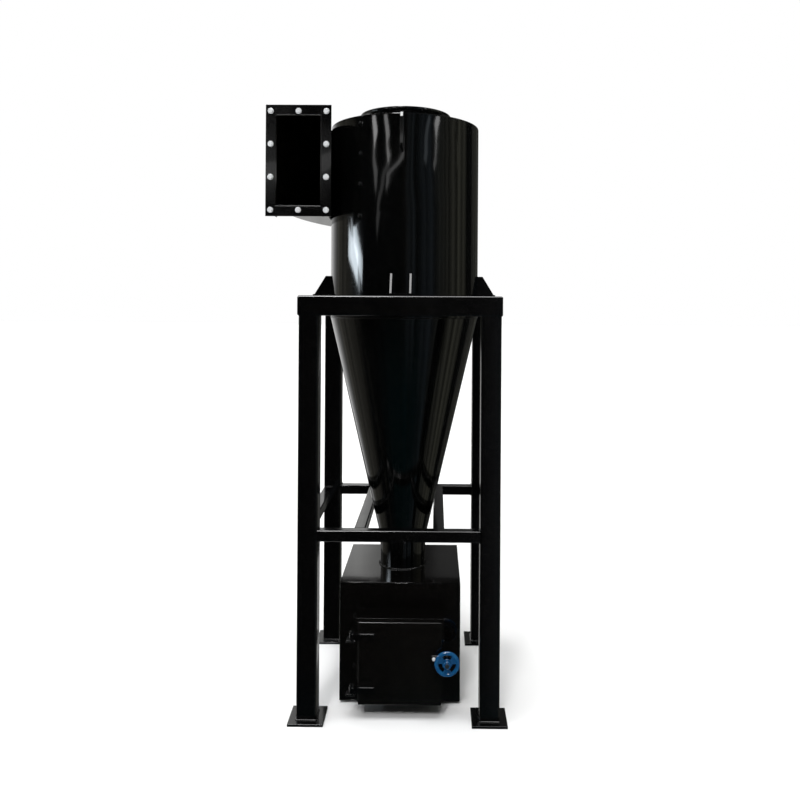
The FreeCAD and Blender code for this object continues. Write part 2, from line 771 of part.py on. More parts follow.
def make_box_front():
    """The dust box's front wall, with the doorway that the throat frames."""
    body = new_body("box_front_wall")
    sheet_outline = new_sketch(body, "outline", "XZ_Plane", "box_inner_reach")
    draw_rectangle(sheet_outline, "-box_reach", "box_reach", "box_bottom + box_wall", "box_top - box_wall")
    pad(body, sheet_outline, "box_wall")
    doorway = draw_polygon(new_sketch(body, "doorway", "XZ_Plane", "box_reach"), chamfered_outline("throat_wall"))
    cut(body, doorway, "4 * box_wall", centred=True)
    return body


def make_throat():
    """The square throat in front of the doorway, with a lip that the door closes on."""
    body = new_body("door_throat")
    outline = draw_polygon(new_sketch(body, "outline", "XZ_Plane", "box_reach"), chamfered_outline("0"))
    pad(body, outline, "throat_length")
    passage = draw_polygon(new_sketch(body, "passage", "XZ_Plane", "box_reach"), chamfered_outline("throat_wall"))
    cut(body, passage, "throat_length - throat_wall", reverse=True)
    mouth = draw_polygon(new_sketch(body, "mouth", "XZ_Plane", "box_reach"), chamfered_outline("throat_lip"))
    cut(body, mouth, "throat_length", reverse=True)
    return body


def make_box():
    """The dust box: four walls, top, floor and the door's throat."""
    wall_bottom = "box_bottom + box_wall"
    wall_height = "box_top - box_bottom - 2 * box_wall"
    inner = "box_width - 2 * box_wall"
    parts = [
        box("box_floor", "-box_reach", "-box_reach", "box_bottom", "box_width", "box_width", "box_wall"),
        box("box_back_wall", "-box_reach", "box_inner_reach", wall_bottom, "box_width", "box_wall", wall_height),
        box("box_left_wall", "-box_reach", "-box_inner_reach", wall_bottom, "box_wall", inner, wall_height),
        box("box_right_wall", "box_inner_reach", "-box_inner_reach", wall_bottom, "box_wall", inner, wall_height),
    ]
    body = new_body("box_top_plate", "box_top - box_wall")
    plate = new_sketch(body, "plate")
    draw_rectangle(plate, "-box_reach", "box_reach", "-box_reach", "box_reach")
    draw_circle(plate, "neck_radius - shell_wall")
    pad(body, plate, "box_wall")
    return parts + [body, make_box_front(), make_throat()]


# Door, hinges and latch


def make_door_panel():
    """A sheet door with its four edges folded back."""
    body = new_body("door_panel")
    outline = new_sketch(body, "outline", "XZ_Plane", "-door_back")
    draw_rectangle(outline, "door_left", "door_right", "door_bottom", "door_top")
    pad(body, outline, "door_depth")
    tray = new_sketch(body, "tray", "XZ_Plane", "-door_back")
    draw_rectangle(tray, "door_left + door_sheet", "door_right - door_sheet",
                   "door_bottom + door_sheet", "door_top - door_sheet")
    cut(body, tray, "door_depth - door_sheet", reverse=True)
    return body


def make_strap(label, height):
    """A flat strap on the door that ends in the hinge's knuckle."""
    body = new_body(label, height)
    knuckle = draw_circle(new_sketch(body, "knuckle"), "knuckle_radius", "pin_x", "pin_y")
    pad(body, knuckle, "knuckle_height", centred=True)
    strap = new_sketch(body, "strap")
    draw_rectangle(strap, "pin_x", "pin_x + strap_length", "strap_front", "door_front")
    pad(body, strap, "strap_height", centred=True)
    bore = draw_circle(new_sketch(body, "bore"), "pin_radius + pin_clearance", "pin_x", "pin_y")
    cut(body, bore, "2 * knuckle_height", centred=True)
    return body


def make_pintle(label, height):
    """The plate on the throat that carries a hinge's knuckle, with the upright pin in it."""
    ear_top = "%s - knuckle_height / 2 - seat_gap" % height
    body = new_body(label, ear_top)
    ear = new_sketch(body, "ear")
    front = "pin_y - ear_margin"
    side = "pin_x - ear_side_reach"
    draw_polygon(ear, [("throat_left", front), ("throat_left", "pin_y + ear_back_reach"),
                       (side, "pin_y + ear_side_reach"), (side, front)])
    pad(body, ear, "ear_thickness", reverse=True)
    tail = draw_circle(new_sketch(body, "tail"), "pin_radius", "pin_x", "pin_y")
    pad(body, tail, "ear_thickness + pin_tail", reverse=True)
    shank = draw_circle(new_sketch(body, "shank"), "pin_radius", "pin_x", "pin_y")
    pad(body, shank, "knuckle_height + 2 * seat_gap + pin_head_height")
    head = new_sketch(body, "head", offset="knuckle_height + 2 * seat_gap")
    draw_circle(head, "pin_radius + pin_head_overhang", "pin_x", "pin_y")
    pad(body, head, "pin_head_height")
    return body


def make_hinges():
    """Two strap hinges at the door's left edge."""
    heights = {"lower": "(door_bottom + hinge_inset)", "upper": "(door_top - hinge_inset)"}
    straps = [make_strap(name + "_strap", height) for name, height in heights.items()]
    pintles = [make_pintle(name + "_pintle", height) for name, height in heights.items()]
    return [group("door_straps", straps), group("hinge_pintles", pintles)]


def make_latch_lug():
    """The plate on the door that carries the latch's spindle."""
    body = new_body("latch_lug")
    plate = new_sketch(body, "plate", "XZ_Plane", "-door_front")
    end = "latch_x + lug_plate_margin"
    draw_rectangle(plate, end + " - lug_plate_length", end,
                   "latch_height - lug_plate_height / 2", "latch_height + lug_plate_height / 2")
    pad(body, plate, "lug_plate_thickness")
    hole = new_sketch(body, "hole", "XZ_Plane", "-door_front")
    draw_circle(hole, "spindle_radius + pin_clearance", "latch_x", "latch_height")
    cut(body, hole, "4 * lug_plate_thickness", centred=True)
    return body


def make_latch_keeper():
    """The plate beside the throat that the spindle draws the door against."""
    body = new_body("latch_keeper")
    plate = new_sketch(body, "plate", "XZ_Plane", "-keeper_front")
    draw_rectangle(plate, "throat_right", "latch_x + keeper_margin",
                   "latch_height - keeper_height / 2", "latch_height + keeper_height / 2")
    pad(body, plate, "keeper_thickness", reverse=True)
    hole = new_sketch(body, "hole", "XZ_Plane", "-keeper_front")
    draw_circle(hole, "spindle_radius + keeper_clearance", "latch_x", "latch_height")
    cut(body, hole, "4 * keeper_thickness", centred=True)
    return body


def lay_on_latch_axis(body):
    """Turn a body's own Z axis to point backwards along the latch's axis."""
    body.Placement = FreeCAD.Placement(Vector(0, 0, 0), FreeCAD.Rotation(Vector(1, 0, 0), -90))
    return bind(body, Base_x="axis_shift + latch_x", Base_y="wheel_y", Base_z="latch_height")


def make_spindle():
    """The latch's spindle, with a collar behind the lug and a nut in front of the wheel's hub."""
    body = lay_on_latch_axis(doc.addObject("PartDesign::Body", "latch_spindle"))
    tip = "keeper_front + keeper_thickness - wheel_y"
    collar = "door_front + seat_gap - wheel_y"
    nut = "wheel_front - seat_gap - wheel_y"
    profile = new_sketch(body, "profile", "XZ_Plane")
    collar_end = collar + " + spindle_collar_length"
    nut_end = nut + " - spindle_nut_length"
    nut_radius = "spindle_radius + spindle_nut_overhang"
    collar_radius = "spindle_radius + spindle_collar_overhang"
    draw_polygon(profile, [("0", nut_end), (nut_radius, nut_end), (nut_radius, nut), ("spindle_radius", nut),
                           ("spindle_radius", collar), (collar_radius, collar), (collar_radius, collar_end),
                           ("spindle_radius", collar_end), ("spindle_radius", tip), ("0", tip)])
    revolve(body, profile)
    return body


def make_handwheel():
    """The cast handwheel: round rim, flat web with three windows, and a hub."""
    body = lay_on_latch_axis(doc.addObject("PartDesign::Body", "handwheel"))
    hub = new_sketch(body, "hub", offset="lug_plate_front - seat_gap - wheel_y")
    draw_circle(hub, "spindle_radius + wheel_hub_wall")
    pad(body, hub, "wheel_hub_length", reverse=True)
    web = draw_circle(new_sketch(body, "web"), "wheel_radius - wheel_rim_radius")
    pad(body, web, "wheel_web_thickness", centred=True)
    rim = new_sketch(body, "rim", "XZ_Plane")
    draw_circle(rim, "wheel_rim_radius", "wheel_radius - wheel_rim_radius")
    revolve(body, rim)
    window = new_sketch(body, "window")
    inner, outer, angle = "window_inner_radius", "window_outer_radius", "window_half_angle"
    corners = [(radius, turn) for radius, turns in ((inner, (1, -1)), (outer, (-1, 0, 1))) for turn in turns]
    draw_polygon(window, [("%s * sin(%d * %s)" % (radius, turn, angle), "-%s * cos(%d * %s)" % (radius, turn, angle))
                          for radius, turn in corners])
    feature = cut(body, window, "2 * wheel_web_thickness", centred=True)
    repeat_round(body, feature, window, 3)
    bore = draw_circle(new_sketch(body, "bore"), "spindle_radius")
    cut(body, bore, "4 * wheel_hub_length", centred=True)
    return body


def make_door():
    """Everything that swings or turns, and what holds it."""
    return [make_door_panel(), *make_hinges(), make_latch_lug(), make_latch_keeper(),
            make_spindle(), make_handwheel()]


def check(parts):
    """Stop if any object failed or any part has no sound shape."""
    for item in doc.Objects:
        if "Invalid" in item.State or "Error" in item.State:
            raise ValueError("%s: %s" % (item.Label, item.State))
    for part in parts:
        if part.Shape.isNull() or not part.Shape.isValid() or not part.Shape.Solids:
            raise ValueError("%s has no sound shape" % part.Label)


def export(parts):
    """Write each part to a STEP file named after it."""
    os.makedirs(PARTS_FOLDER, exist_ok=True)
    for part in parts:
        part.Shape.exportStep("%s/%s.step" % (PARTS_FOLDER, part.Label))
        print("%-22s %9.0f mm3" % (part.Label, part.Shape.Volume))


nodes = make_stand() + make_vessel() + make_inlet() + make_box() + make_door()
doc.recompute()
check(nodes)
export(nodes)
print("%d parts" % len(nodes))
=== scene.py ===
"""Visual model of a cyclone dust separator on its stand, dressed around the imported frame."""

import json
import logging
import math
from collections.abc import Callable, Iterable, Sequence
from dataclasses import dataclass, field
from enum import Enum

import bmesh
import bpy
from bmesh.types import BMEdge, BMesh, BMVert
from mathutils import Matrix, Vector


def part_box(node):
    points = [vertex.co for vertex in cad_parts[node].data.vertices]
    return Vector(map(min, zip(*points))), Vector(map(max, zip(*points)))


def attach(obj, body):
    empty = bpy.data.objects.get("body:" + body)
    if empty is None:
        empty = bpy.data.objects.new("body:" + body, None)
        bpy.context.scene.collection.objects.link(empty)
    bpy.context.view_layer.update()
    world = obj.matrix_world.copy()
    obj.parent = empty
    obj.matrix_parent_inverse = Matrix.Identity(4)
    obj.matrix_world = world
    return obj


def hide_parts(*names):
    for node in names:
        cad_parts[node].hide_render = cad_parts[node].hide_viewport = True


Socket = bpy.types.NodeSocket
Colour = tuple[float, float, float]
Place = tuple[float, float, float]

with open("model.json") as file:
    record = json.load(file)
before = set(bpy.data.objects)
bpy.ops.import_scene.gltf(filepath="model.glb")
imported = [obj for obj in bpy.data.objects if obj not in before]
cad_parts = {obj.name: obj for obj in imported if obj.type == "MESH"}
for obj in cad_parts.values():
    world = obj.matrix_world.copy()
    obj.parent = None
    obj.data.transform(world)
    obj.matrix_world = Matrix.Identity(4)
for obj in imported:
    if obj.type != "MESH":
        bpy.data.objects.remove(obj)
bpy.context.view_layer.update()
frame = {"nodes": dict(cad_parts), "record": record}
LOG = logging.getLogger("cyclone")
MM = 0.001
LUG_FOOT = (*(sum(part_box("lifting_lug_front"), Vector()) / 2).xy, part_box("lifting_lug_front")[0].z)
SHARP_ANGLE = math.radians(32)
STAND, DOOR, WHEEL = "stand", "ash_door", "handwheel"
CORNERS = ("front_left", "front_right", "back_left", "back_right")
RADIAL_STEPS = 128


class Slot(Enum):
    """The frame's material slots."""

    BLACK = "black_paint"
    BLUE = "blue_paint"
    STEEL = "bare_steel"


class Along(Enum):
    """A row axis, as the index of its coordinate."""

    X = 0
    Y = 1
    Z = 2

    @property
    def vector(self) -> Vector:
        """The axis as a unit vector."""
        return Vector([1.0 if index == self.value else 0.0 for index in range(3)])


# Finishes


class NodeBench:
    """Adds nodes to one material or world and links them."""

    def __init__(self, tree: bpy.types.NodeTree) -> None:
        """Start on a node tree, emptied."""
        self.tree = tree
        tree.nodes.clear()

    def add(self, kind: str, **settings: object) -> bpy.types.Node:
        """Add a node.

        Args:
            kind: the node's type name.
            settings: properties to set; a name that isn't a property sets the input of that name.

        Returns:
            The new node.
        """
        node = self.tree.nodes.new(kind)
        for name, value in settings.items():
            if hasattr(node, name):
                setattr(node, name, value)
            else:
                node.inputs[name.replace("_", " ")].default_value = value
        return node

    def link(self, source: Socket, target: Socket) -> None:
        """Link an output to an input."""
        self.tree.links.new(source, target)

    def noise(self, place: Socket, scale: float, detail: float, upright: float = 1.0) -> Socket:
        """Add a noise pattern.

        Args:
            place: the coordinates it reads.
            scale: features per metre.
            detail: octaves.
            upright: the pattern's scale along Z as a share of its scale across.

        Returns:
            The pattern's factor.
        """
        if upright != 1.0:
            mapping = self.add("ShaderNodeMapping")
            mapping.inputs["Scale"].default_value = (1.0, 1.0, upright)
            self.link(place, mapping.inputs["Vector"])
            place = mapping.outputs["Vector"]
        node = self.add("ShaderNodeTexNoise", Scale=scale, Detail=detail)
        self.link(place, node.inputs["Vector"])
        return node.outputs["Fac"]

    def near(self, place: Socket, spot: Sequence[float], reach: float) -> Socket:
        """Find how near a point lies to a spot.

        Args:
            place: the coordinates it reads.
            spot: the spot's coordinates.
            reach: the distance at which nearness runs out.

        Returns:
            One at the spot, falling to nothing at the reach.
        """
        node = self.add("ShaderNodeVectorMath", operation="DISTANCE")
        node.inputs[1].default_value = spot
        self.link(place, node.inputs[0])
        return self.remap(node.outputs["Value"], (0.0, reach), (1.0, 0.0))

    def mottle(self, pattern: Socket, first: Sequence[float], second: Sequence[float]) -> Socket:
        """Blend two colours by a pattern that runs from nought to one."""
        mix = self.add("ShaderNodeMix", data_type="RGBA")
        mix.inputs["A"].default_value = (*first, 1.0)
        mix.inputs["B"].default_value = (*second, 1.0)
        self.link(pattern, mix.inputs["Factor"])
        return mix.outputs["Result"]

    def surface(self, shader: bpy.types.Node) -> None:
        """Make a shader the material's surface."""
        output = self.add("ShaderNodeOutputMaterial")
        self.link(shader.outputs["BSDF"], output.inputs["Surface"])

    def times(self, first: Socket, second: Socket) -> Socket:
        """Multiply two numbers."""
        node = self.add("ShaderNodeMath", operation="MULTIPLY")
        self.link(first, node.inputs[0])
        self.link(second, node.inputs[1])
        return node.outputs["Value"]

    def remap(self, value: Socket, source: Sequence[float], target: Sequence[float]) -> Socket:
        """Map one range of numbers onto another.

        Args:
            value: the number to map.
            source: the range's two ends before.
            target: the range's two ends after.

        Returns:
            The mapped number.
        """
        node = self.add("ShaderNodeMapRange")
        for name, number in zip(("From Min", "From Max", "To Min", "To Max"), (*source, *target)):
            node.inputs[name].default_value = number
        self.link(value, node.inputs["Value"])
        return node.outputs["Result"]

    def bump(self, height: Socket, depth: float, strength: float, under: Socket | None = None) -> Socket:
        """Add relief to the surface.

        Args:
            height: the relief's pattern.
            depth: its depth in metres.
            strength: how much of it shows.
            under: the normal of the relief it lies on.

        Returns:
            The new normal.
        """
        node = self.add("ShaderNodeBump", Strength=strength, Distance=depth)
        self.link(height, node.inputs["Height"])
        if under:
            self.link(under, node.inputs["Normal"])
        return node.outputs["Normal"]


def new_material(name: str) -> tuple[bpy.types.Material, NodeBench, Socket]:
    """Start a node material.

    Args:
        name: its name.

    Returns:
        The material, the bench for its nodes, and the coordinates that its patterns read.
    """
    material = bpy.data.materials.new(name)
    material.use_nodes = True
    bench = NodeBench(material.node_tree)
    return material, bench, bench.add("ShaderNodeTexCoord").outputs["Object"]


@dataclass(frozen=True)
class GlossPaint:
    """Paint sprayed on steel: a slightly wavy gloss coat with fine orange peel and faint smears."""

    name: str
    colour: Colour
    smear_colour: Colour
    roughness: tuple[float, float] = (0.05, 0.13)
    wave_depth: float = 0.0016
    wave_scale: float = 3.2
    wave_upright: float = 1.0
    coat: float = 0.5
    coat_roughness: float = 0.04
    smear_scale: float = 7.0
    grime_scale: float = 38.0
    peel_scale: float = 260.0
    peel_depth: float = 0.00012
    dent: Place | None = None
    dent_reach: float = 0.26
    dent_scale: float = 6.0
    dent_depth: float = 0.012

    def build(self) -> bpy.types.Material:
        """Make the material."""
        material, bench, place = new_material(self.name)
        smear = bench.noise(place, self.smear_scale, 5.0)
        grime = bench.remap(bench.noise(place, self.grime_scale, 4.0), (0.45, 0.8), (0.0, 1.0))
        waves = bench.noise(place, self.wave_scale, 1.5, self.wave_upright)
        waves = bench.bump(waves, self.wave_depth, 1.0)
        if self.dent:
            nearness = bench.near(place, self.dent, self.dent_reach)
            hollow = bench.times(bench.noise(place, self.dent_scale, 0.0), nearness)
            waves = bench.bump(hollow, self.dent_depth, 1.0, waves)
        peel = bench.bump(bench.noise(place, self.peel_scale, 2.0), self.peel_depth, 0.5, waves)
        shader = bench.add("ShaderNodeBsdfPrincipled")
        shader.inputs["Coat Weight"].default_value = self.coat
        shader.inputs["Coat Roughness"].default_value = self.coat_roughness
        bench.link(bench.mottle(grime, self.colour, self.smear_colour), shader.inputs["Base Color"])
        bench.link(bench.remap(smear, (0.3, 0.7), self.roughness), shader.inputs["Roughness"])
        bench.link(peel, shader.inputs["Normal"])
        bench.link(waves, shader.inputs["Coat Normal"])
        bench.surface(shader)
        return material


@dataclass(frozen=True)
class PlatedMetal:
    """Plated or bare steel with fine turning marks and a blotchy bloom."""

    name: str
    bright: Colour
    dull: Colour
    roughness: tuple[float, float] = (0.22, 0.42)
    metallic: float = 1.0
    bloom_scale: float = 120.0
    grain_scale: float = 900.0
    grain_depth: float = 0.00008

    def build(self) -> bpy.types.Material:
        """Make the material."""
        material, bench, place = new_material(self.name)
        bloom = bench.noise(place, self.bloom_scale, 4.0)
        grain = bench.bump(bench.noise(place, self.grain_scale, 2.0), self.grain_depth, 0.6)
        shader = bench.add("ShaderNodeBsdfPrincipled", Metallic=self.metallic)
        patches = bench.remap(bloom, (0.35, 0.7), (0.0, 1.0))
        bench.link(bench.mottle(patches, self.bright, self.dull), shader.inputs["Base Color"])
        bench.link(bench.remap(bloom, (0.3, 0.7), self.roughness), shader.inputs["Roughness"])
        bench.link(grain, shader.inputs["Normal"])
        bench.surface(shader)
        return material


class Finish(Enum):
    """Every finish on the separator."""

    SHEET = GlossPaint("gloss_black_sheet", (0.0021, 0.0019, 0.0017), (0.0034, 0.0031, 0.0028))
    SHELL = GlossPaint("gloss_black_shell", (0.0009, 0.001, 0.001), (0.002, 0.0021, 0.002),
                       (0.05, 0.1), 0.00018, 7.0, 0.12, coat=0.3, dent=LUG_FOOT)
    TUBE = GlossPaint("gloss_black_tube", (0.0009, 0.0009, 0.001), (0.0022, 0.0021, 0.002),
                      (0.1, 0.22), 0.0006, 6.0)
    WELD = GlossPaint("gloss_black_weld", (0.0012, 0.0012, 0.0013), (0.003, 0.003, 0.003),
                      (0.18, 0.32), 0.0002, 60.0)
    HINGE = GlossPaint("blackened_hinge_steel", (0.002, 0.002, 0.002), (0.004, 0.004, 0.004),
                       (0.2, 0.35), 0.0002, 80.0)
    BLUE = GlossPaint("gloss_blue_casting", (0.003, 0.05, 0.14), (0.007, 0.085, 0.2),
                      (0.12, 0.25), 0.0003, 60.0)
    ZINC = PlatedMetal("zinc_plate", (0.9, 0.91, 0.92), (0.7, 0.71, 0.72), metallic=0.35)
    STEEL = PlatedMetal("turned_steel", (0.42, 0.42, 0.42), (0.28, 0.28, 0.28), (0.25, 0.4))

    @property
    def slot(self) -> Slot:
        """The frame's slot that this finish stands for."""
        if self is Finish.BLUE:
            return Slot.BLUE
        return Slot.STEEL if self in (Finish.ZINC, Finish.STEEL, Finish.HINGE) else Slot.BLACK

    @property
    def material(self) -> bpy.types.Material:
        """The finish's material, made the first time it is wanted."""
        return bpy.data.materials.get(self.value.name) or self.value.build()


# Forming steel


class Workpiece:
    """One piece of the visual model while it is being formed."""

    def __init__(self, name: str) -> None:
        """Start an empty piece under its name."""
        self.name = name
        self.bm: BMesh = bmesh.new()

    def block(self, low: Vector, high: Vector, radius: float, along: Along) -> None:
        """Add a tube's outside between two corners, with its long edges rounded as on a rolled tube.

        Args:
            low: the lowest corner.
            high: the highest corner.
            radius: the long edges' radius.
            along: the axis that the tube runs along.
        """
        place = Matrix.Translation((low + high) / 2) @ Matrix.Diagonal((*(high - low), 1.0))
        verts = bmesh.ops.create_cube(self.bm, size=1.0, matrix=place)["verts"]
        self.round_edges([edge for edge in edges_of(verts) if is_along(edge, along)], radius, 4)

    def round_edges(self, edges: Iterable[BMEdge], radius: float, segments: int = 3) -> None:
        """Round a set of edges by a radius."""
        bmesh.ops.bevel(self.bm, geom=list(edges), offset=radius, offset_type="OFFSET", segments=segments,
                        profile=0.5, affect="EDGES", clamp_overlap=True, material=-1)

    def lathe(self, profile: Sequence[tuple[float, float]], centre: Vector, axis: Along = Along.Z,
              closed: bool = False, steps: int = RADIAL_STEPS, start: float = 0.0,
              sweep: float = math.tau) -> None:
        """Turn a profile about an axis.

        Args:
            profile: pairs of radius and height along the axis, in metres.
            centre: where the heights start, on the axis.
            axis: the axis to turn about.
            closed: join the profile's last point to its first, as for a ring.
            steps: facets in the whole sweep.
            start: the angle the sweep starts at.
            sweep: the angle it covers.
        """
        across = Along.X.vector if axis is not Along.X else Along.Y.vector
        across = Matrix.Rotation(start, 3, axis.vector) @ across
        verts = [self.bm.verts.new(centre + across * radius + axis.vector * height)
                 for radius, height in profile]
        pairs = list(zip(verts, verts[1:])) + ([(verts[-1], verts[0])] if closed else [])
        edges = [self.bm.edges.new(pair) for pair in pairs]
        whole = abs(sweep - math.tau) < 1e-6
        bmesh.ops.spin(self.bm, geom=verts + edges, cent=centre, axis=axis.vector, angle=sweep,
                       steps=steps, use_merge=whole, use_duplicate=False)

    def tidy(self, gap: float = 1e-6) -> None:
        """Merge doubled points, close open rims and turn every face outwards."""
        bmesh.ops.remove_doubles(self.bm, verts=self.bm.verts[:], dist=gap)
        rims = [edge for edge in self.bm.edges if edge.is_boundary]
        if rims:
            bmesh.ops.holes_fill(self.bm, edges=rims, sides=0)
        bmesh.ops.recalc_face_normals(self.bm, faces=self.bm.faces[:])

    def slice_off(self, point: Vector, normal: Vector) -> None:
        """Cut away everything on the normal's side of a plane and close the cut."""
        geometry = self.bm.verts[:] + self.bm.edges[:] + self.bm.faces[:]
        bmesh.ops.bisect_plane(self.bm, geom=geometry, dist=1e-7, plane_co=point, plane_no=normal,
                               clear_outer=True)
        bmesh.ops.holes_fill(self.bm, edges=[edge for edge in self.bm.edges if edge.is_boundary], sides=0)

    def copy_of(self, node: str, radius: float, wanted: Callable[[BMEdge], bool] | None = None,
                segments: int = 2) -> None:
        """Take a node's exact shape and round its long edges.

        Args:
            node: the node's name.
            radius: the edges' radius.
            wanted: keeps only the edges for which it is true.
            segments: facets in each rounding.
        """
        self.bm.from_mesh(frame["nodes"][node].data)
        bmesh.ops.remove_doubles(self.bm, verts=self.bm.verts[:], dist=2e-6)
        bmesh.ops.dissolve_limit(self.bm, angle_limit=math.radians(0.6), use_dissolve_boundaries=False,
                                 verts=self.bm.verts[:], edges=self.bm.edges[:], delimit=set())
        edges = [edge for edge in self.bm.edges if len(edge.link_faces) == 2
                 and edge.calc_face_angle(0.0) > math.radians(40) and edge.calc_length() > 4 * radius]
        if wanted:
            edges = [edge for edge in edges if wanted(edge)]
        if radius and edges:
            self.round_edges(edges, radius, segments)

    def fit(self, finish: Finish, body: str, replaces: Sequence[str] = ()) -> bpy.types.Object:
        """Turn the piece into an object with its finish, riding on its body.

        Args:
            finish: its finish.
            body: the body it rides on.
            replaces: nodes that it stands for.

        Returns:
            The finished object.
        """
        mesh = bpy.data.meshes.new(self.name)
        self.bm.to_mesh(mesh)
        self.bm.free()
        mesh.shade_smooth()
        mesh.set_sharp_from_angle(angle=SHARP_ANGLE)
        mesh.materials.append(finish.material)
        piece = bpy.data.objects.new(self.name, mesh)
        bpy.context.scene.collection.objects.link(piece)
        weighted = piece.modifiers.new("weighted_normals", "WEIGHTED_NORMAL")
        weighted.keep_sharp = True
        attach(piece, body)
        if replaces:
            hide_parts(*replaces)
        LOG.info("%s: %d faces on %s", self.name, len(mesh.polygons), body)
        return piece


def is_along(edge: BMEdge, along: Along) -> bool:
    """Tell whether an edge runs along an axis."""
    run = edge.verts[1].co - edge.verts[0].co
    return abs(run[along.value]) > 0.999 * run.length


def edges_of(verts: Iterable[BMVert]) -> list[BMEdge]:
    """The edges that meet some vertices, each once and in order."""
    return list(dict.fromkeys(edge for vert in verts for edge in vert.link_edges))


def radius_of(node: str) -> float:
    """Half the width of a round node."""
    low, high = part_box(node)
    return (high.x - low.x) / 2


def shape(name: str, finish: Finish, body: str, node: str, radius: float) -> bpy.types.Object:
    """Stand in for one node with its own shape, its long edges rounded.

    Args:
        name: the piece's name.
        finish: its finish.
        body: the body it rides on.
        node: the node.
        radius: the edges' radius.

    Returns:
        The piece.
    """
    piece = Workpiece(name)
    piece.copy_of(node, radius)
    return piece.fit(finish, body, [node])


class Seam:
    """Weld beads, laid one after another into a single piece."""

    def __init__(self, name: str, width: float = 0.006, pitch: float = 0.006) -> None:
        """Start with no beads.

        Args:
            name: the piece's name.
            width: the beads' width.
            pitch: the distance from one ripple to the next.
        """
        self.piece = Workpiece(name)
        self.width = width
        self.pitch = pitch

    def _bead(self, first: Vector, way: Vector, sweep: dict[str, object],
              nearest: Callable[[Vector], tuple[Vector, float]]) -> None:
        """Sweep the bead's round section along a run, swell and pinch it, and add it to the piece.

        Args:
            first: the run's start.
            way: the run's direction there.
            sweep: the spin that carries the section along.
            nearest: gives the run's point nearest to a spot, and the distance to it along the run.
        """
        bead = bmesh.new()
        turn = way.to_track_quat("Z", "Y").to_matrix().to_4x4()
        ring = bmesh.ops.create_circle(bead, cap_ends=False, radius=self.width / 2, segments=7,
                                       matrix=Matrix.Translation(first) @ turn)["verts"]
        bmesh.ops.spin(bead, geom=ring + bead.edges[:], use_duplicate=False, **sweep)
        for vert in bead.verts:
            centre, distance = nearest(vert.co)
            beat = 0.16 * math.cos(math.tau * distance / self.pitch)
            drift = math.sin(distance * 61.0) * 0.1 + math.sin(distance * 23.0) * 0.08
            vert.co = centre + (vert.co - centre) * (1.0 + beat + drift)
        mesh = bpy.data.meshes.new("bead")
        bead.to_mesh(mesh)
        bead.free()
        self.piece.bm.from_mesh(mesh)
        bpy.data.meshes.remove(mesh)

    def straight(self, start: Vector, end: Vector) -> None:
        """Lay a bead from one point to another."""
        run = end - start
        steps = max(4, round(run.length / self.pitch * 3))
        way = run.normalized()

        def nearest(spot: Vector) -> tuple[Vector, float]:
            """Find the run's nearest point and the distance along the run."""
            distance = (spot - start).dot(way)
            return start + way * distance, distance

        sweep = {"cent": start, "axis": (0, 0, 1), "dvec": run / steps, "angle": 0.0, "steps": steps,
                 "use_merge": False}
        self._bead(start, run, sweep, nearest)

    def round(self, centre: Vector, radius: float) -> None:
        """Lay a bead round a level circle.

        Args:
            centre: the circle's centre.
            radius: the circle's radius.
        """
        across, along = Along.X.vector, Along.Y.vector
        steps = max(8, round(radius * math.tau / self.pitch * 3))

        def nearest(spot: Vector) -> tuple[Vector, float]:
            """Find the run's nearest point and the distance along the run."""
            out = spot - centre
            angle = math.atan2(out.dot(along), out.dot(across))
            return centre + (across * math.cos(angle) + along * math.sin(angle)) * radius, angle * radius

        sweep = {"cent": centre, "axis": Along.Z.vector, "angle": math.tau, "steps": steps, "use_merge": True}
        self._bead(centre + across * radius, along, sweep, nearest)

    def loop(self, low: Vector, high: Vector) -> None:
        """Lay four beads round a level rectangle between two corners, at the low corner's height."""
        corners = [Vector((x, y, low.z)) for x, y in ((low.x, low.y), (high.x, low.y), (high.x, high.y),
                                                      (low.x, high.y))]
        for start, end in zip(corners, corners[1:] + corners[:1]):
            self.straight(start, end)

    def fit(self, body: str = STAND) -> bpy.types.Object:
        """Close the beads' ends and finish the piece."""
        self.piece.tidy()
        return self.piece.fit(Finish.WELD, body)


# Sub-assemblies


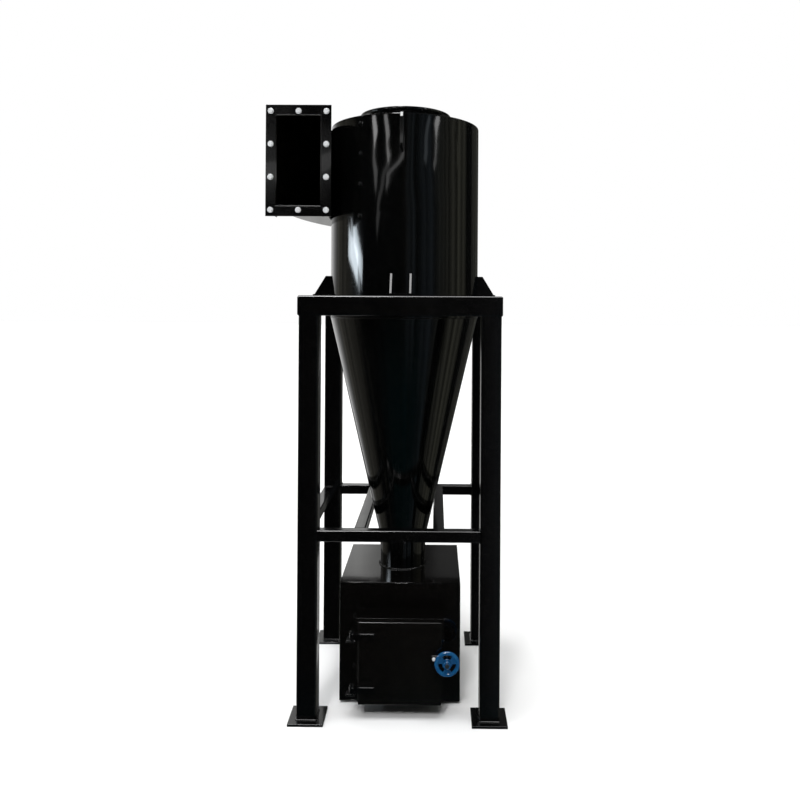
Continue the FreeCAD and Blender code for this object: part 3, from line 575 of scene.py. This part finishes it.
@dataclass
class StandFrame:
    """The stand: legs and their plates, the top ring, the mid rails and the cone's bars."""

    leg_corner: float = 8 * MM
    beam_corner: float = 7 * MM
    rail_corner: float = 5 * MM
    plate_edge: float = 1.2 * MM
    bead_span: tuple[float, float] = (0.1, 0.9)

    def legs(self) -> None:
        """Make the four legs and their foot plates."""
        for corner in CORNERS:
            node = "leg_" + corner
            low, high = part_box(node)
            piece = Workpiece("tube_" + node)
            piece.block(low, high, self.leg_corner, Along.Z)
            piece.fit(Finish.TUBE, STAND, [node])
        shape("foot_plates_cut", Finish.TUBE, STAND, "foot_plates", self.plate_edge)

    def beams(self) -> None:
        """Make the mitred tubes of the top ring."""
        low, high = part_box("top_beam_front")
        corner = Vector((low.x, low.y, 0))
        other = Vector((high.x, low.y, 0))
        middle = (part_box("top_beam_left")[0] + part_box("top_beam_right")[1]) / 2
        for turn, side in enumerate(("front", "right", "back", "left")):
            piece = Workpiece("tube_top_beam_" + side)
            piece.block(low, high, self.beam_corner, Along.X)
            piece.slice_off(corner, Vector((-1, 1, 0)))
            piece.slice_off(other, Vector((1, 1, 0)))
            spin = Matrix.Rotation(turn * math.pi / 2, 3, "Z")
            bmesh.ops.rotate(piece.bm, cent=(middle.x, middle.y, 0), matrix=spin, verts=piece.bm.verts[:])
            piece.fit(Finish.TUBE, STAND, ["top_beam_" + side])

    def rails(self) -> None:
        """Make the mid rails and the two bars beside the cone."""
        leg_low, leg_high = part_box("leg_front_left")
        rail_low, rail_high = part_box("mid_rails")
        width = rail_high.z - rail_low.z
        radius = self.rail_corner
        for node, inset in (("mid_rails", leg_high.x - leg_low.x), ("cone_bars", 0.0)):
            low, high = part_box(node)
            piece = Workpiece("tube_" + node)
            near, far = low.y + inset, high.y - inset
            for x in (low.x, high.x - width):
                piece.block(Vector((x, near, low.z)), Vector((x + width, far, high.z)), radius, Along.Y)
            if inset:
                left, right = low.x + inset, high.x - inset
                for y in (low.y, high.y - width):
                    piece.block(Vector((left, y, low.z)), Vector((right, y + width, high.z)), radius, Along.X)
            piece.fit(Finish.TUBE, STAND, [node])

    def welds(self) -> None:
        """Lay the stand's welds."""
        seam = Seam("weld_stand", 7 * MM, 7 * MM)
        rail_low, rail_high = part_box("mid_rails")
        width = rail_high.z - rail_low.z
        for corner in CORNERS:
            low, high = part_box("leg_" + corner)
            seam.loop(low, high)
            inner_x, outer_x = (high.x, low.x) if "left" in corner else (low.x, high.x)
            inner_y, outer_y = (high.y, low.y) if "front" in corner else (low.y, high.y)
            step_x = math.copysign(width, inner_x - outer_x)
            step_y = math.copysign(width, inner_y - outer_y)
            for z in (rail_low.z, rail_high.z):
                ends_x = [Vector((outer_x + step_x * share, inner_y, z)) for share in self.bead_span]
                ends_y = [Vector((inner_x, outer_y + step_y * share, z)) for share in self.bead_span]
                seam.straight(*ends_y)
                seam.straight(*ends_x)
        seam.fit()

    def build(self) -> None:
        """Make the whole stand."""
        self.legs()
        self.beams()
        self.rails()
        self.welds()


@dataclass
class Vessel:
    """Barrel, lid, cone, neck and outlet pipe, with the lugs and brackets on the barrel."""

    wall: float = 4 * MM
    lip: float = 2.2 * MM
    edge: float = 0.9 * MM
    bead_shift: float = 1 * MM
    bead_end: float = 4 * MM
    facets: int = 16
    port_lap: float = math.radians(2.4)
    port_slope: float = 0.082
    centre: Vector = field(default_factory=lambda: sum(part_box("outlet_pipe"), Vector()) / 2)

    def axis_at(self, height: float) -> Vector:
        """A point of the vessel's axis."""
        return Vector((self.centre.x, self.centre.y, height))

    def shell(self, name: str, node: str, foot: float, top: float) -> None:
        """Make a round shell, straight or tapering.

        Args:
            name: the piece's name.
            node: the node it stands for.
            foot: its outer radius at the bottom.
            top: its outer radius at the top.
        """
        low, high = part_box(node)
        height = high.z - low.z
        piece = Workpiece(name)
        section = [(foot, 0.0), (top, height), (top - self.wall, height), (foot - self.wall, 0.0)]
        piece.lathe(section, self.axis_at(low.z), closed=True)
        piece.tidy()
        piece.fit(Finish.SHELL, STAND, [node])

    def barrel(self) -> None:
        """Make the rolled barrel, open where the scroll leads in."""
        low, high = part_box("barrel")
        outer = radius_of("barrel")
        inner = outer - self.wall
        port_low, port_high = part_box("inlet_outer_wall")
        bottom, top = port_low.z - low.z, port_high.z - low.z
        height = high.z - low.z
        jamb = port_high.x - self.centre.x
        start = math.acos(jamb / outer) + self.port_lap
        port = math.pi - start
        piece = Workpiece("rolled_barrel")
        foot = self.axis_at(low.z)
        bands = [(0.0, bottom), (bottom, top), (top, height)]
        around = [(outer, 0.0), (outer, bottom), (outer, top), (outer, height),
                  (inner, height), (inner, top), (inner, bottom), (inner, 0.0)]
        piece.lathe(around, foot, closed=True, steps=112, start=math.pi, sweep=math.tau - port)
        for low_z, high_z in (bands[0], bands[2]):
            section = [(outer, low_z), (outer, high_z), (inner, high_z), (inner, low_z)]
            piece.lathe(section, foot, closed=True, steps=self.facets, start=start, sweep=port)
        piece.tidy(1e-5)
        fall = port_high.y - self.centre.y
        for vert in piece.bm.verts:
            if abs(vert.co.z - port_low.z) < 1e-5:
                vert.co.z += self.port_slope * (fall - (vert.co.y - self.centre.y))
        piece.fit(Finish.SHELL, STAND, ["barrel"])

    def fittings(self) -> None:
        """Make the lid, the flange, the lugs and the brackets."""
        shape("lid_plate", Finish.SHEET, STAND, "barrel_top_plate", self.lip)
        shape("outlet_ring", Finish.TUBE, STAND, "outlet_flange", self.lip)
        for side in ("front", "back"):
            shape("lug_" + side, Finish.TUBE, STAND, "lifting_lug_" + side, self.edge)
        for side in ("front", "back", "left", "right"):
            shape("carrier_" + side, Finish.TUBE, STAND, "bracket_" + side, self.edge)

    def welds(self) -> None:
        """Lay the vessel's welds."""
        barrel, neck, pipe = (radius_of(node) for node in ("barrel", "cone_neck", "outlet_pipe"))
        shoulder, cone_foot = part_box("barrel")[0].z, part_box("cone_neck")[1].z
        lid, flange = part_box("barrel_top_plate")[1].z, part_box("outlet_flange")[0].z
        seam = Seam("weld_vessel", 5 * MM, 6 * MM)
        for height, radius in ((shoulder, barrel - self.bead_shift), (cone_foot, neck), (lid, pipe),
                               (flange, pipe)):
            seam.round(self.axis_at(height), radius)
        back = self.axis_at(shoulder) + Vector((0, barrel, 0))
        seam.straight(back, Vector((*back.xy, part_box("lifting_lug_back")[0].z)))
        seam.straight(self.axis_at(cone_foot) + Vector((0, neck, 0)), back)
        seam.fit()
        lug = Seam("weld_lugs", 7 * MM, 9 * MM)
        for side in ("front", "back"):
            low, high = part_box("lifting_lug_" + side)
            near = low.y if side == "back" else high.y
            for x in (low.x, high.x):
                foot, top = low.z + self.bead_end, high.z - self.bead_end
                lug.straight(Vector((x, near, foot)), Vector((x, near, top)))
            lug.straight(Vector((low.x, near, low.z)), Vector((high.x, near, low.z)))
        lug.fit()
        ring = Seam("weld_neck", 9 * MM, 7 * MM)
        ring.round(self.axis_at(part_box("cone_neck")[0].z), neck + self.bead_shift)
        ring.fit()

    def build(self) -> None:
        """Make the whole vessel."""
        self.barrel()
        neck, pipe = radius_of("cone_neck"), radius_of("outlet_pipe")
        self.shell("rolled_cone", "cone", neck, radius_of("cone"))
        self.shell("rolled_neck", "cone_neck", neck, neck)
        self.shell("rolled_outlet", "outlet_pipe", pipe, pipe)
        self.fittings()
        self.welds()


@dataclass
class HexBolt:
    """A hexagon bolt with a washer under its head, and its nut behind."""

    thread: float = 6 * MM
    pitch: float = 1.8 * MM
    thread_depth: float = 0.6 * MM
    across_corners: float = 21 * MM
    head: float = 7.5 * MM
    head_edge: float = 0.9 * MM
    washer_radius: float = 12 * MM
    washer: float = 2.2 * MM
    edge: float = 0.5 * MM
    grip: float = 8 * MM
    nut: float = 9 * MM
    tail: float = 8 * MM

    def hexagon(self, piece: Workpiece, middle: Vector, turn: float, height: float) -> None:
        """Add a hexagon prism with rounded edges, its axis along Y."""
        radius = self.across_corners / 2
        upright = Matrix.Rotation(math.pi / 2, 4, "X")
        place = Matrix.Translation(middle) @ Matrix.Rotation(turn, 4, "Y") @ upright
        made = bmesh.ops.create_cone(piece.bm, cap_ends=True, cap_tris=False, segments=6, depth=height,
                                     radius1=radius, radius2=radius, matrix=place)
        piece.round_edges(edges_of(made["verts"]), self.head_edge, 2)

    def add(self, piece: Workpiece, seat: Vector, turn: float, with_nut: bool = True) -> None:
        """Add one bolt whose head faces the front.

        Args:
            piece: the piece it becomes part of.
            seat: the middle of its head's seat.
            turn: how far the head is turned, in radians.
            with_nut: add the nut and the thread's end behind.
        """
        rim, face = self.washer_radius, -self.washer
        piece.lathe([(0, 0), (rim, 0), (rim, face + self.edge), (rim - self.edge, face), (0, face)],
                    seat, Along.Y, steps=28)
        self.hexagon(piece, seat - Vector((0, self.washer + self.head / 2, 0)), turn, self.head)
        if with_nut:
            outside = self.grip + self.nut
            end = outside + self.tail
            core = self.thread - self.thread_depth
            threads = [(self.thread if step % 2 else core, outside + step * self.pitch / 2)
                       for step in range(9)]
            piece.lathe([(self.thread, 0), (self.thread, outside), *threads, (core - self.edge, end),
                         (0, end)], seat, Along.Y, steps=20)
            self.hexagon(piece, seat + Vector((0, self.grip + self.nut / 2, 0)), turn * 1.7, self.nut)


@dataclass
class Inlet:
    """The tangential duct with its angle frame and bolts."""

    edge: float = 0.8 * MM
    bolt: HexBolt = field(default_factory=lambda: HexBolt(grip=4 * MM))

    def scroll_wall(self) -> None:
        """Make the curved outer wall."""
        piece = Workpiece("scroll_wall")
        piece.copy_of("inlet_outer_wall", 0.0)
        piece.fit(Finish.SHEET, STAND, ["inlet_outer_wall"])

    def plates_and_frame(self) -> None:
        """Make the flat plates and the angle frame round the mouth."""
        for side in ("top", "bottom"):
            shape("scroll_" + side, Finish.SHEET, STAND, "inlet_%s_plate" % side, self.edge)
        shape("tangent_plate", Finish.SHEET, STAND, "inlet_inner_wall", self.edge)
        for side in ("left", "right", "top", "bottom"):
            shape("mouth_angle_" + side, Finish.TUBE, STAND, "inlet_flange_" + side, self.edge)

    def bolts(self) -> None:
        """Fit a bolt in every hole of the angle frame."""
        piece = Workpiece("mouth_bolts")
        count = 0
        for mount in frame["record"]["mounts"]:
            if not mount["name"].startswith("inlet_bolts"):
                continue
            centre = Vector(mount["pos_m"])
            half_x = mount["dims"].get("spacing_x_mm", 0.0) * MM / 2
            half_z = mount["dims"].get("spacing_y_mm", 0.0) * MM / 2
            for x in sorted({-half_x, half_x}):
                for z in (-half_z, half_z):
                    self.bolt.add(piece, centre + Vector((x, 0, z)), 0.4 + count * 1.1)
                    count += 1
        piece.tidy()
        piece.fit(Finish.ZINC, STAND)

    def welds(self) -> None:
        """Lay the inlet's welds."""
        floor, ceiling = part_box("inlet_flange_bottom")[1].z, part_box("inlet_flange_top")[0].z
        left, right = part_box("inlet_flange_left")[1].x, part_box("inlet_flange_right")[0].x
        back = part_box("inlet_flange_left")[1].y
        seam = Seam("weld_inlet", 4.5 * MM, 6 * MM)
        for z in (floor, ceiling):
            seam.straight(Vector((left, back, z)), Vector((right, back, z)))
        for x in (left, right):
            seam.straight(Vector((x, back, floor)), Vector((x, back, ceiling)))
        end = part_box("inlet_inner_wall")[1].y
        fall = Vessel.port_slope * (end - back)
        seam.straight(Vector((right, back, floor)), Vector((right, end, floor - fall)))
        seam.straight(Vector((right, back, ceiling)), Vector((right, end, ceiling)))
        seam.fit()

    def build(self) -> None:
        """Make the whole inlet."""
        self.scroll_wall()
        self.plates_and_frame()
        self.bolts()
        self.welds()


@dataclass
class DustBox:
    """The dust box with the throat that its door closes."""

    edge: float = 1.4 * MM
    throat_edge: float = 0.5 * MM
    bead_inset: float = 0.6 * MM
    bead_end: float = 3 * MM

    def plates(self) -> None:
        """Make the box's plates and the throat."""
        for side in ("front_wall", "back_wall", "left_wall", "right_wall", "top_plate", "floor"):
            shape("sheet_box_" + side, Finish.SHEET, STAND, "box_" + side, self.edge)
        shape("throat_frame", Finish.SHEET, STAND, "door_throat", self.throat_edge)

    def welds(self) -> None:
        """Lay the box's welds."""
        low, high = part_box("box_top_plate")
        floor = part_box("box_floor")[0]
        seam = Seam("weld_dust_box", 2.4 * MM, 5 * MM)
        foot, top = floor.z + self.bead_end, high.z - self.bead_end
        for x in (low.x + self.bead_inset, high.x - self.bead_inset):
            for y in (low.y + self.bead_inset, high.y - self.bead_inset):
                seam.straight(Vector((x, y, foot)), Vector((x, y, top)))
        seam.fit()

    def build(self) -> None:
        """Make the whole dust box."""
        self.plates()
        self.welds()


@dataclass
class AshDoor:
    """The door with its strap hinges, latch and handwheel."""

    panel_edge: float = 2.4 * MM
    rim_corner: float = 28 * MM
    small_edge: float = 0.7 * MM
    strap_middle: float = 14 * MM
    strap_bead: float = 10 * MM
    bead_end: float = 5 * MM
    bolt_inset: float = 9 * MM
    shaft: float = 6 * MM
    shaft_tip: float = 1 * MM
    thread_start: float = 6 * MM
    thread_end: float = 1.5 * MM
    thread_depth: float = 0.5 * MM
    pitch: float = 1.8 * MM
    collar: float = 11 * MM
    collar_depth: float = 5 * MM
    collar_gap: float = 0.3 * MM
    wheel_gap: float = 16 * MM
    rim: float = 8 * MM
    hub: float = 15 * MM
    boss: float = 20 * MM
    web: float = 7 * MM
    soft: float = 1.5 * MM
    spoke_angle: float = math.radians(54)
    spoke_edge: float = 1.4 * MM
    spoke_root: float = 2 * MM

    def panel(self) -> None:
        """Make the folded door."""
        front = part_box("door_panel")[0].y

        def is_fold(edge: BMEdge) -> bool:
            """Tell whether an edge lies on the door's face or is one of the corners of its rim."""
            if max(vert.co.y for vert in edge.verts) < front + 0.1 * MM:
                return True
            return is_along(edge, Along.Y) and edge.calc_length() > self.rim_corner

        piece = Workpiece("folded_door")
        piece.copy_of("door_panel", self.panel_edge, is_fold, 4)
        piece.fit(Finish.SHEET, DOOR, ["door_panel"])

    def hinges(self) -> None:
        """Make the straps on the door and the pintles beside it."""
        shape("hinge_straps", Finish.TUBE, DOOR, "door_straps", self.small_edge)
        shape("hinge_ears", Finish.HINGE, STAND, "hinge_pintles", self.small_edge)

    def latch(self) -> None:
        """Make the plate on the door, the keeper and the bolt beside the handwheel."""
        shape("latch_plate", Finish.TUBE, DOOR, "latch_lug", self.small_edge)
        shape("keeper_plate", Finish.TUBE, STAND, "latch_keeper", self.small_edge)
        low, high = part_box("latch_lug")
        piece = Workpiece("latch_bolt")
        bolt = HexBolt(across_corners=12 * MM, head=5 * MM, washer_radius=7 * MM, washer=1.6 * MM)
        seat = Vector((low.x + self.bolt_inset, low.y, high.z - self.bolt_inset))
        bolt.add(piece, seat, 0.3, with_nut=False)
        piece.tidy()
        piece.fit(Finish.ZINC, DOOR)

    def spindle(self) -> None:
        """Make the spindle with its collar and its nut."""
        low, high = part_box("latch_spindle")
        middle = (low + high) / 2
        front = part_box("handwheel")[0].y
        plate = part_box("latch_lug")[1].y - front
        length = high.y - front
        start = plate + self.thread_start
        count = math.ceil((length - self.thread_end - start) / (self.pitch / 2))
        threads = [(self.shaft - (self.thread_depth if step % 2 else 0.0), start + step * self.pitch / 2)
                   for step in range(count)]
        seat = plate + self.collar_gap
        behind = seat + self.collar_depth
        piece = Workpiece("turned_spindle")
        piece.lathe([(0, 0), (self.shaft, 0), (self.shaft, seat), (self.collar, seat), (self.collar, behind),
                     (self.shaft, behind), *threads, (self.shaft - self.shaft_tip, length), (0, length)],
                    Vector((middle.x, front, middle.z)), Along.Y, steps=32)
        nut = Vector((middle.x, (low.y + front) / 2, middle.z))
        HexBolt(across_corners=17.6 * MM).hexagon(piece, nut, 0.5, front - low.y)
        piece.tidy()
        piece.fit(Finish.STEEL, WHEEL, ["latch_spindle"])

    def spoke(self, piece: Workpiece, centre: Vector, reach: float, start: float) -> None:
        """Add one broad spoke of the handwheel.

        Args:
            piece: the handwheel.
            centre: the middle of the rim's plane.
            reach: the radius at which the spoke ends, inside the rim.
            start: the angle it starts at.
        """
        inner, half = self.boss - self.soft, self.web / 2
        before = set(piece.bm.verts)
        section = [(inner, -half), (reach, -half), (reach, half), (inner, half)]
        piece.lathe(section, centre, Along.Y, closed=True, steps=10, start=start, sweep=self.spoke_angle)
        edges = edges_of(vert for vert in piece.bm.verts if vert not in before)
        bmesh.ops.holes_fill(piece.bm, edges=[edge for edge in edges if edge.is_boundary], sides=0)
        piece.round_edges([edge for edge in edges
                           if len(edge.link_faces) == 2 and edge.calc_face_angle(0.0) > math.radians(60)
                           and abs(edge.verts[0].co.y - edge.verts[1].co.y) < 0.01 * MM
                           and edge.calc_length() > 12 * MM], self.spoke_edge)

    def handwheel(self) -> None:
        """Make the cast handwheel."""
        low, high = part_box("handwheel")
        middle = (low + high) / 2
        outer = radius_of("handwheel")
        centre = Vector((middle.x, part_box("latch_lug")[0].y - self.wheel_gap, middle.z))
        piece = Workpiece("cast_handwheel")
        ring = []
        for step in range(20):
            turn = math.tau * step / 20
            ring.append((outer - self.rim + self.rim * math.cos(turn), self.rim * math.sin(turn)))
        piece.lathe(ring, centre, Along.Y, closed=True, steps=96)
        hub, boss, soft, half = self.hub, self.boss, self.soft, self.web / 2
        length = high.y - low.y
        section = [(self.shaft, 0), (hub - soft, 0), (hub, soft), (hub, length - soft), (hub - soft, length),
                   (self.shaft, length)]
        piece.lathe(section, Vector((centre.x, low.y, centre.z)), Along.Y, closed=True, steps=48)
        piece.lathe([(hub - soft, -half), (boss - soft, -half), (boss, soft - half), (boss, half - soft),
                     (boss - soft, half), (hub - soft, half)], centre, Along.Y, closed=True, steps=48)
        for number in range(3):
            middle_angle = math.radians(90 + 120 * number)
            reach = outer - 2 * self.rim + self.spoke_root
            self.spoke(piece, centre, reach, middle_angle - self.spoke_angle / 2)
        piece.tidy()
        piece.fit(Finish.BLUE, WHEEL, ["handwheel"])

    def welds(self) -> None:
        """Lay the welds of the straps and the latch plate."""
        straps_low, straps_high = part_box("door_straps")
        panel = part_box("door_panel")[0]
        seam = Seam("weld_door", 3.5 * MM, 4.5 * MM)
        for z in (straps_low.z + self.strap_middle, straps_high.z - self.strap_middle):
            under, over = z - self.strap_bead, z + self.strap_bead
            for side in (under, over):
                start = Vector((panel.x + self.bead_end, panel.y, side))
                seam.straight(start, Vector((straps_high.x, panel.y, side)))
            seam.straight(Vector((straps_high.x, panel.y, under)), Vector((straps_high.x, panel.y, over)))
        low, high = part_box("latch_lug")
        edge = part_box("door_panel")[1].x - 4 * MM
        for z in (low.z, high.z):
            seam.straight(Vector((low.x, panel.y, z)), Vector((edge, panel.y, z)))
        seam.straight(Vector((low.x, panel.y, low.z)), Vector((low.x, panel.y, high.z)))
        seam.fit(DOOR)

    def build(self) -> None:
        """Make the whole door."""
        self.panel()
        self.hinges()
        self.latch()
        self.spindle()
        self.handwheel()
        self.welds()


# Studio


@dataclass(frozen=True)
class Softbox:
    """A flat studio light that faces the vessel."""

    name: str
    azimuth: float
    distance: float
    height: float
    width: float
    tall: float
    radiance: float
    colour: Colour = (1.0, 1.0, 1.0)

    def add(self, target: Vector) -> None:
        """Place the light.

        Args:
            target: the point it faces. Its azimuth is measured from the front, positive to the left, and
                its width and height lean with the azimuth.
        """
        light = bpy.data.lights.new(self.name, "AREA")
        light.shape = "RECTANGLE"
        light.size = self.width
        light.size_y = self.tall
        light.energy = self.radiance * math.pi * self.width * self.tall
        light.color = self.colour
        lamp = bpy.data.objects.new(self.name, light)
        angle = math.radians(self.azimuth)
        level = Vector((target.x, target.y, self.height))
        place = level - Vector((math.sin(angle), math.cos(angle), 0.0)) * self.distance
        lamp.location = place
        lamp.rotation_euler = (level - place).to_track_quat("-Z", "Z").to_euler()
        lamp.visible_camera = False
        bpy.context.scene.collection.objects.link(lamp)


@dataclass
class Studio:
    """The pale floor, the soft light and the camera."""

    camera_place: Place = (0.2006, -3.372, 1.6426)
    yaw: float = 0.513
    pitch: float = 0.046
    roll: float = -0.35
    lens: float = 34.08
    shift: tuple[float, float] = (-0.0364, -0.1189)
    floor_size: float = 60.0
    surroundings: tuple[tuple[float, Colour], ...] = (
        (-180, (0.015, 0.014, 0.013)),
        (-172, (0.006, 0.006, 0.006)),
        (-120, (0.004, 0.004, 0.005)),
        (-105, (0.015, 0.015, 0.016)),
        (-98, (0.11, 0.105, 0.09)),
        (-60, (0.18, 0.175, 0.15)),
        (-48, (0.42, 0.42, 0.41)),
        (-35, (0.9, 0.9, 0.9)),
        (-4.5, (0.62, 0.62, 0.61)),
        (-2, (0.05, 0.05, 0.05)),
        (35, (0.07, 0.07, 0.06)),
        (50, (0.05, 0.05, 0.045)),
        (54, (0.012, 0.012, 0.012)),
        (68, (0.012, 0.013, 0.012)),
        (72, (0.16, 0.16, 0.13)),
        (84, (0.19, 0.19, 0.15)),
        (106, (0.15, 0.15, 0.125)),
        (125, (0.085, 0.09, 0.085)),
        (131, (0.04, 0.045, 0.05)),
        (137, (0.08, 0.1, 0.12)),
        (150, (0.07, 0.085, 0.1)),
        (155, (0.02, 0.025, 0.03)),
        (159, (0.008, 0.009, 0.01)),
        (163, (0.07, 0.085, 0.1)),
        (170, (0.09, 0.105, 0.12)),
        (175, (0.03, 0.03, 0.032)),
        (180, (0.015, 0.014, 0.013)),
    )
    ground: Colour = (0.003, 0.03, 0.034)

    def floor(self) -> None:
        """Lay the floor."""
        mesh = bpy.data.meshes.new("floor")
        bm = bmesh.new()
        bmesh.ops.create_grid(bm, x_segments=1, y_segments=1, size=self.floor_size)
        bm.to_mesh(mesh)
        bm.free()
        floor = bpy.data.objects.new("floor", mesh)
        bpy.context.scene.collection.objects.link(floor)
        material, bench, place = new_material("pale_floor")
        tone = bench.remap(bench.noise(place, 1.5, 3.0), (0.3, 0.7), (0.86, 0.89))
        shader = bench.add("ShaderNodeBsdfPrincipled", Roughness=0.9)
        shader.inputs["Specular IOR Level"].default_value = 0.1
        bench.link(tone, shader.inputs["Base Color"])
        bench.surface(shader)
        mesh.materials.append(material)
        floor.visible_glossy = False

    def sky(self) -> None:
        """Surround the separator: white to the eye, a dim workshop bright at the back left to the paint."""
        world = bpy.data.worlds.new("studio")
        bpy.context.scene.world = world
        world.use_nodes = True
        bench = NodeBench(world.node_tree)
        parts = bench.add("ShaderNodeSeparateXYZ")
        bench.link(bench.add("ShaderNodeTexCoord").outputs["Generated"], parts.inputs["Vector"])
        azimuth = bench.add("ShaderNodeMath", operation="ARCTAN2")
        bench.link(parts.outputs["X"], azimuth.inputs[0])
        bench.link(parts.outputs["Y"], azimuth.inputs[1])
        ramp = bench.add("ShaderNodeValToRGB")
        bench.link(bench.remap(azimuth.outputs["Value"], (-math.pi, math.pi), (0.0, 1.0)), ramp.inputs["Fac"])
        stops = ramp.color_ramp.elements
        for degrees, colour in self.surroundings[1:-1]:
            stops.new((degrees + 180) / 360).color = (*colour, 1.0)
        stops[0].color = (*self.surroundings[0][1], 1.0)
        stops[-1].color = (*self.surroundings[-1][1], 1.0)
        front = bench.remap(parts.outputs["Y"], (-0.5, -0.8), (0.0, 1.0))
        low = bench.remap(parts.outputs["Z"], (-0.43, -0.55), (0.0, 1.0))
        blend = bench.add("ShaderNodeMix", data_type="RGBA")
        bench.link(bench.times(front, low), blend.inputs["Factor"])
        bench.link(ramp.outputs["Color"], blend.inputs["A"])
        blend.inputs["B"].default_value = (*self.ground, 1.0)
        bands = bench.add("ShaderNodeTexNoise", noise_dimensions="1D", Scale=9.0, Detail=4.0, Roughness=0.6)
        bench.link(azimuth.outputs["Value"], bands.inputs["W"])
        room = bench.add("ShaderNodeBackground")
        bench.link(blend.outputs["Result"], room.inputs["Color"])
        bench.link(bench.remap(bands.outputs["Fac"], (0.35, 0.68), (0.45, 1.6)), room.inputs["Strength"])
        pale = bench.add("ShaderNodeBackground")
        pale.inputs["Color"].default_value = (1.0, 1.0, 1.0, 1.0)
        eye = bench.add("ShaderNodeLightPath")
        mix = bench.add("ShaderNodeMixShader")
        bench.link(eye.outputs["Is Camera Ray"], mix.inputs[0])
        bench.link(room.outputs[0], mix.inputs[1])
        bench.link(pale.outputs[0], mix.inputs[2])
        output = bench.add("ShaderNodeOutputWorld")
        bench.link(mix.outputs[0], output.inputs["Surface"])

    def sun(self, name: str, strength: float, spread: float, tilt: tuple[float, float]) -> None:
        """Hang a wide lamp far away.

        Args:
            name: its name.
            strength: its strength.
            spread: its apparent width in degrees.
            tilt: its turns about X and Y from straight overhead, in degrees.
        """
        light = bpy.data.lights.new(name, "SUN")
        light.energy = strength
        light.angle = math.radians(spread)
        lamp = bpy.data.objects.new(name, light)
        lamp.rotation_euler = (math.radians(tilt[0]), math.radians(tilt[1]), 0)
        bpy.context.scene.collection.objects.link(lamp)

    def lights(self) -> None:
        """Hang the overhead lights and the windows that draw the paint's highlights."""
        self.sun("overhead", 3.4, 50, (4, -3))
        self.sun("front", 1.2, 12, (42, -12))
        target = Vector((0.06, 0.0, 0.0))
        daylight = (0.82, 0.92, 1.0)
        for box in (
            Softbox("window_left", 80.0, 4.0, 2.1, 0.28, 1.4, 9.0, daylight),
            Softbox("window_middle", 75.4, 4.05, 2.1, 0.36, 1.4, 4.0, daylight),
            Softbox("window_right", 70.8, 4.0, 2.15, 0.26, 1.3, 8.5, daylight),
            Softbox("lamp_left", 45.5, 4.0, 3.33, 0.32, 0.66, 4.4),
            Softbox("lamp_left_low", 44, 4.1, 2.8, 0.3, 0.42, 1.1),
            Softbox("lamp_middle", 26, 4.0, 3.35, 0.36, 0.7, 2.6),
            Softbox("lamp_right", -53, 4.0, 3.35, 0.3, 0.5, 3.2),
            Softbox("lamp_right_low", -50, 4.1, 2.95, 0.2, 0.4, 0.9),
            Softbox("lamp_right_dim", -38, 4.0, 3.2, 0.24, 0.8, 0.5, daylight),
            Softbox("glow_upper", 14, 4.2, 2.9, 2.1, 0.16, 1.1),
            Softbox("glow_lower", 32, 4.2, 2.7, 1.3, 0.2, 0.5),
        ):
            box.add(target)

    def camera(self) -> None:
        """Set up the camera."""
        data = bpy.data.cameras.new("camera")
        data.lens = self.lens
        data.sensor_width = 36.0
        data.shift_x, data.shift_y = self.shift
        camera = bpy.data.objects.new("camera", data)
        turn = Matrix.Rotation(math.radians(self.yaw), 3, "Z")
        turn = turn @ Matrix.Rotation(math.radians(self.pitch), 3, "X")
        turn = turn @ Matrix.Rotation(math.radians(self.roll), 3, "Y") @ Matrix.Rotation(math.pi / 2, 3, "X")
        camera.location = self.camera_place
        camera.rotation_euler = turn.to_euler()
        bpy.context.scene.collection.objects.link(camera)
        bpy.context.scene.camera = camera

    def build(self) -> None:
        """Set up the studio."""
        self.floor()
        self.sky()
        self.lights()
        self.camera()
        bpy.context.scene.view_settings.view_transform = "Standard"


def main() -> None:
    """Build every sub-assembly, then the studio."""
    logging.basicConfig(level=logging.INFO, format="%(name)s: %(message)s")
    for part in (StandFrame(), Vessel(), Inlet(), DustBox(), AshDoor(), Studio()):
        part.build()
        LOG.info("built %s", type(part).__name__)


if __name__ == "__main__":
    main()
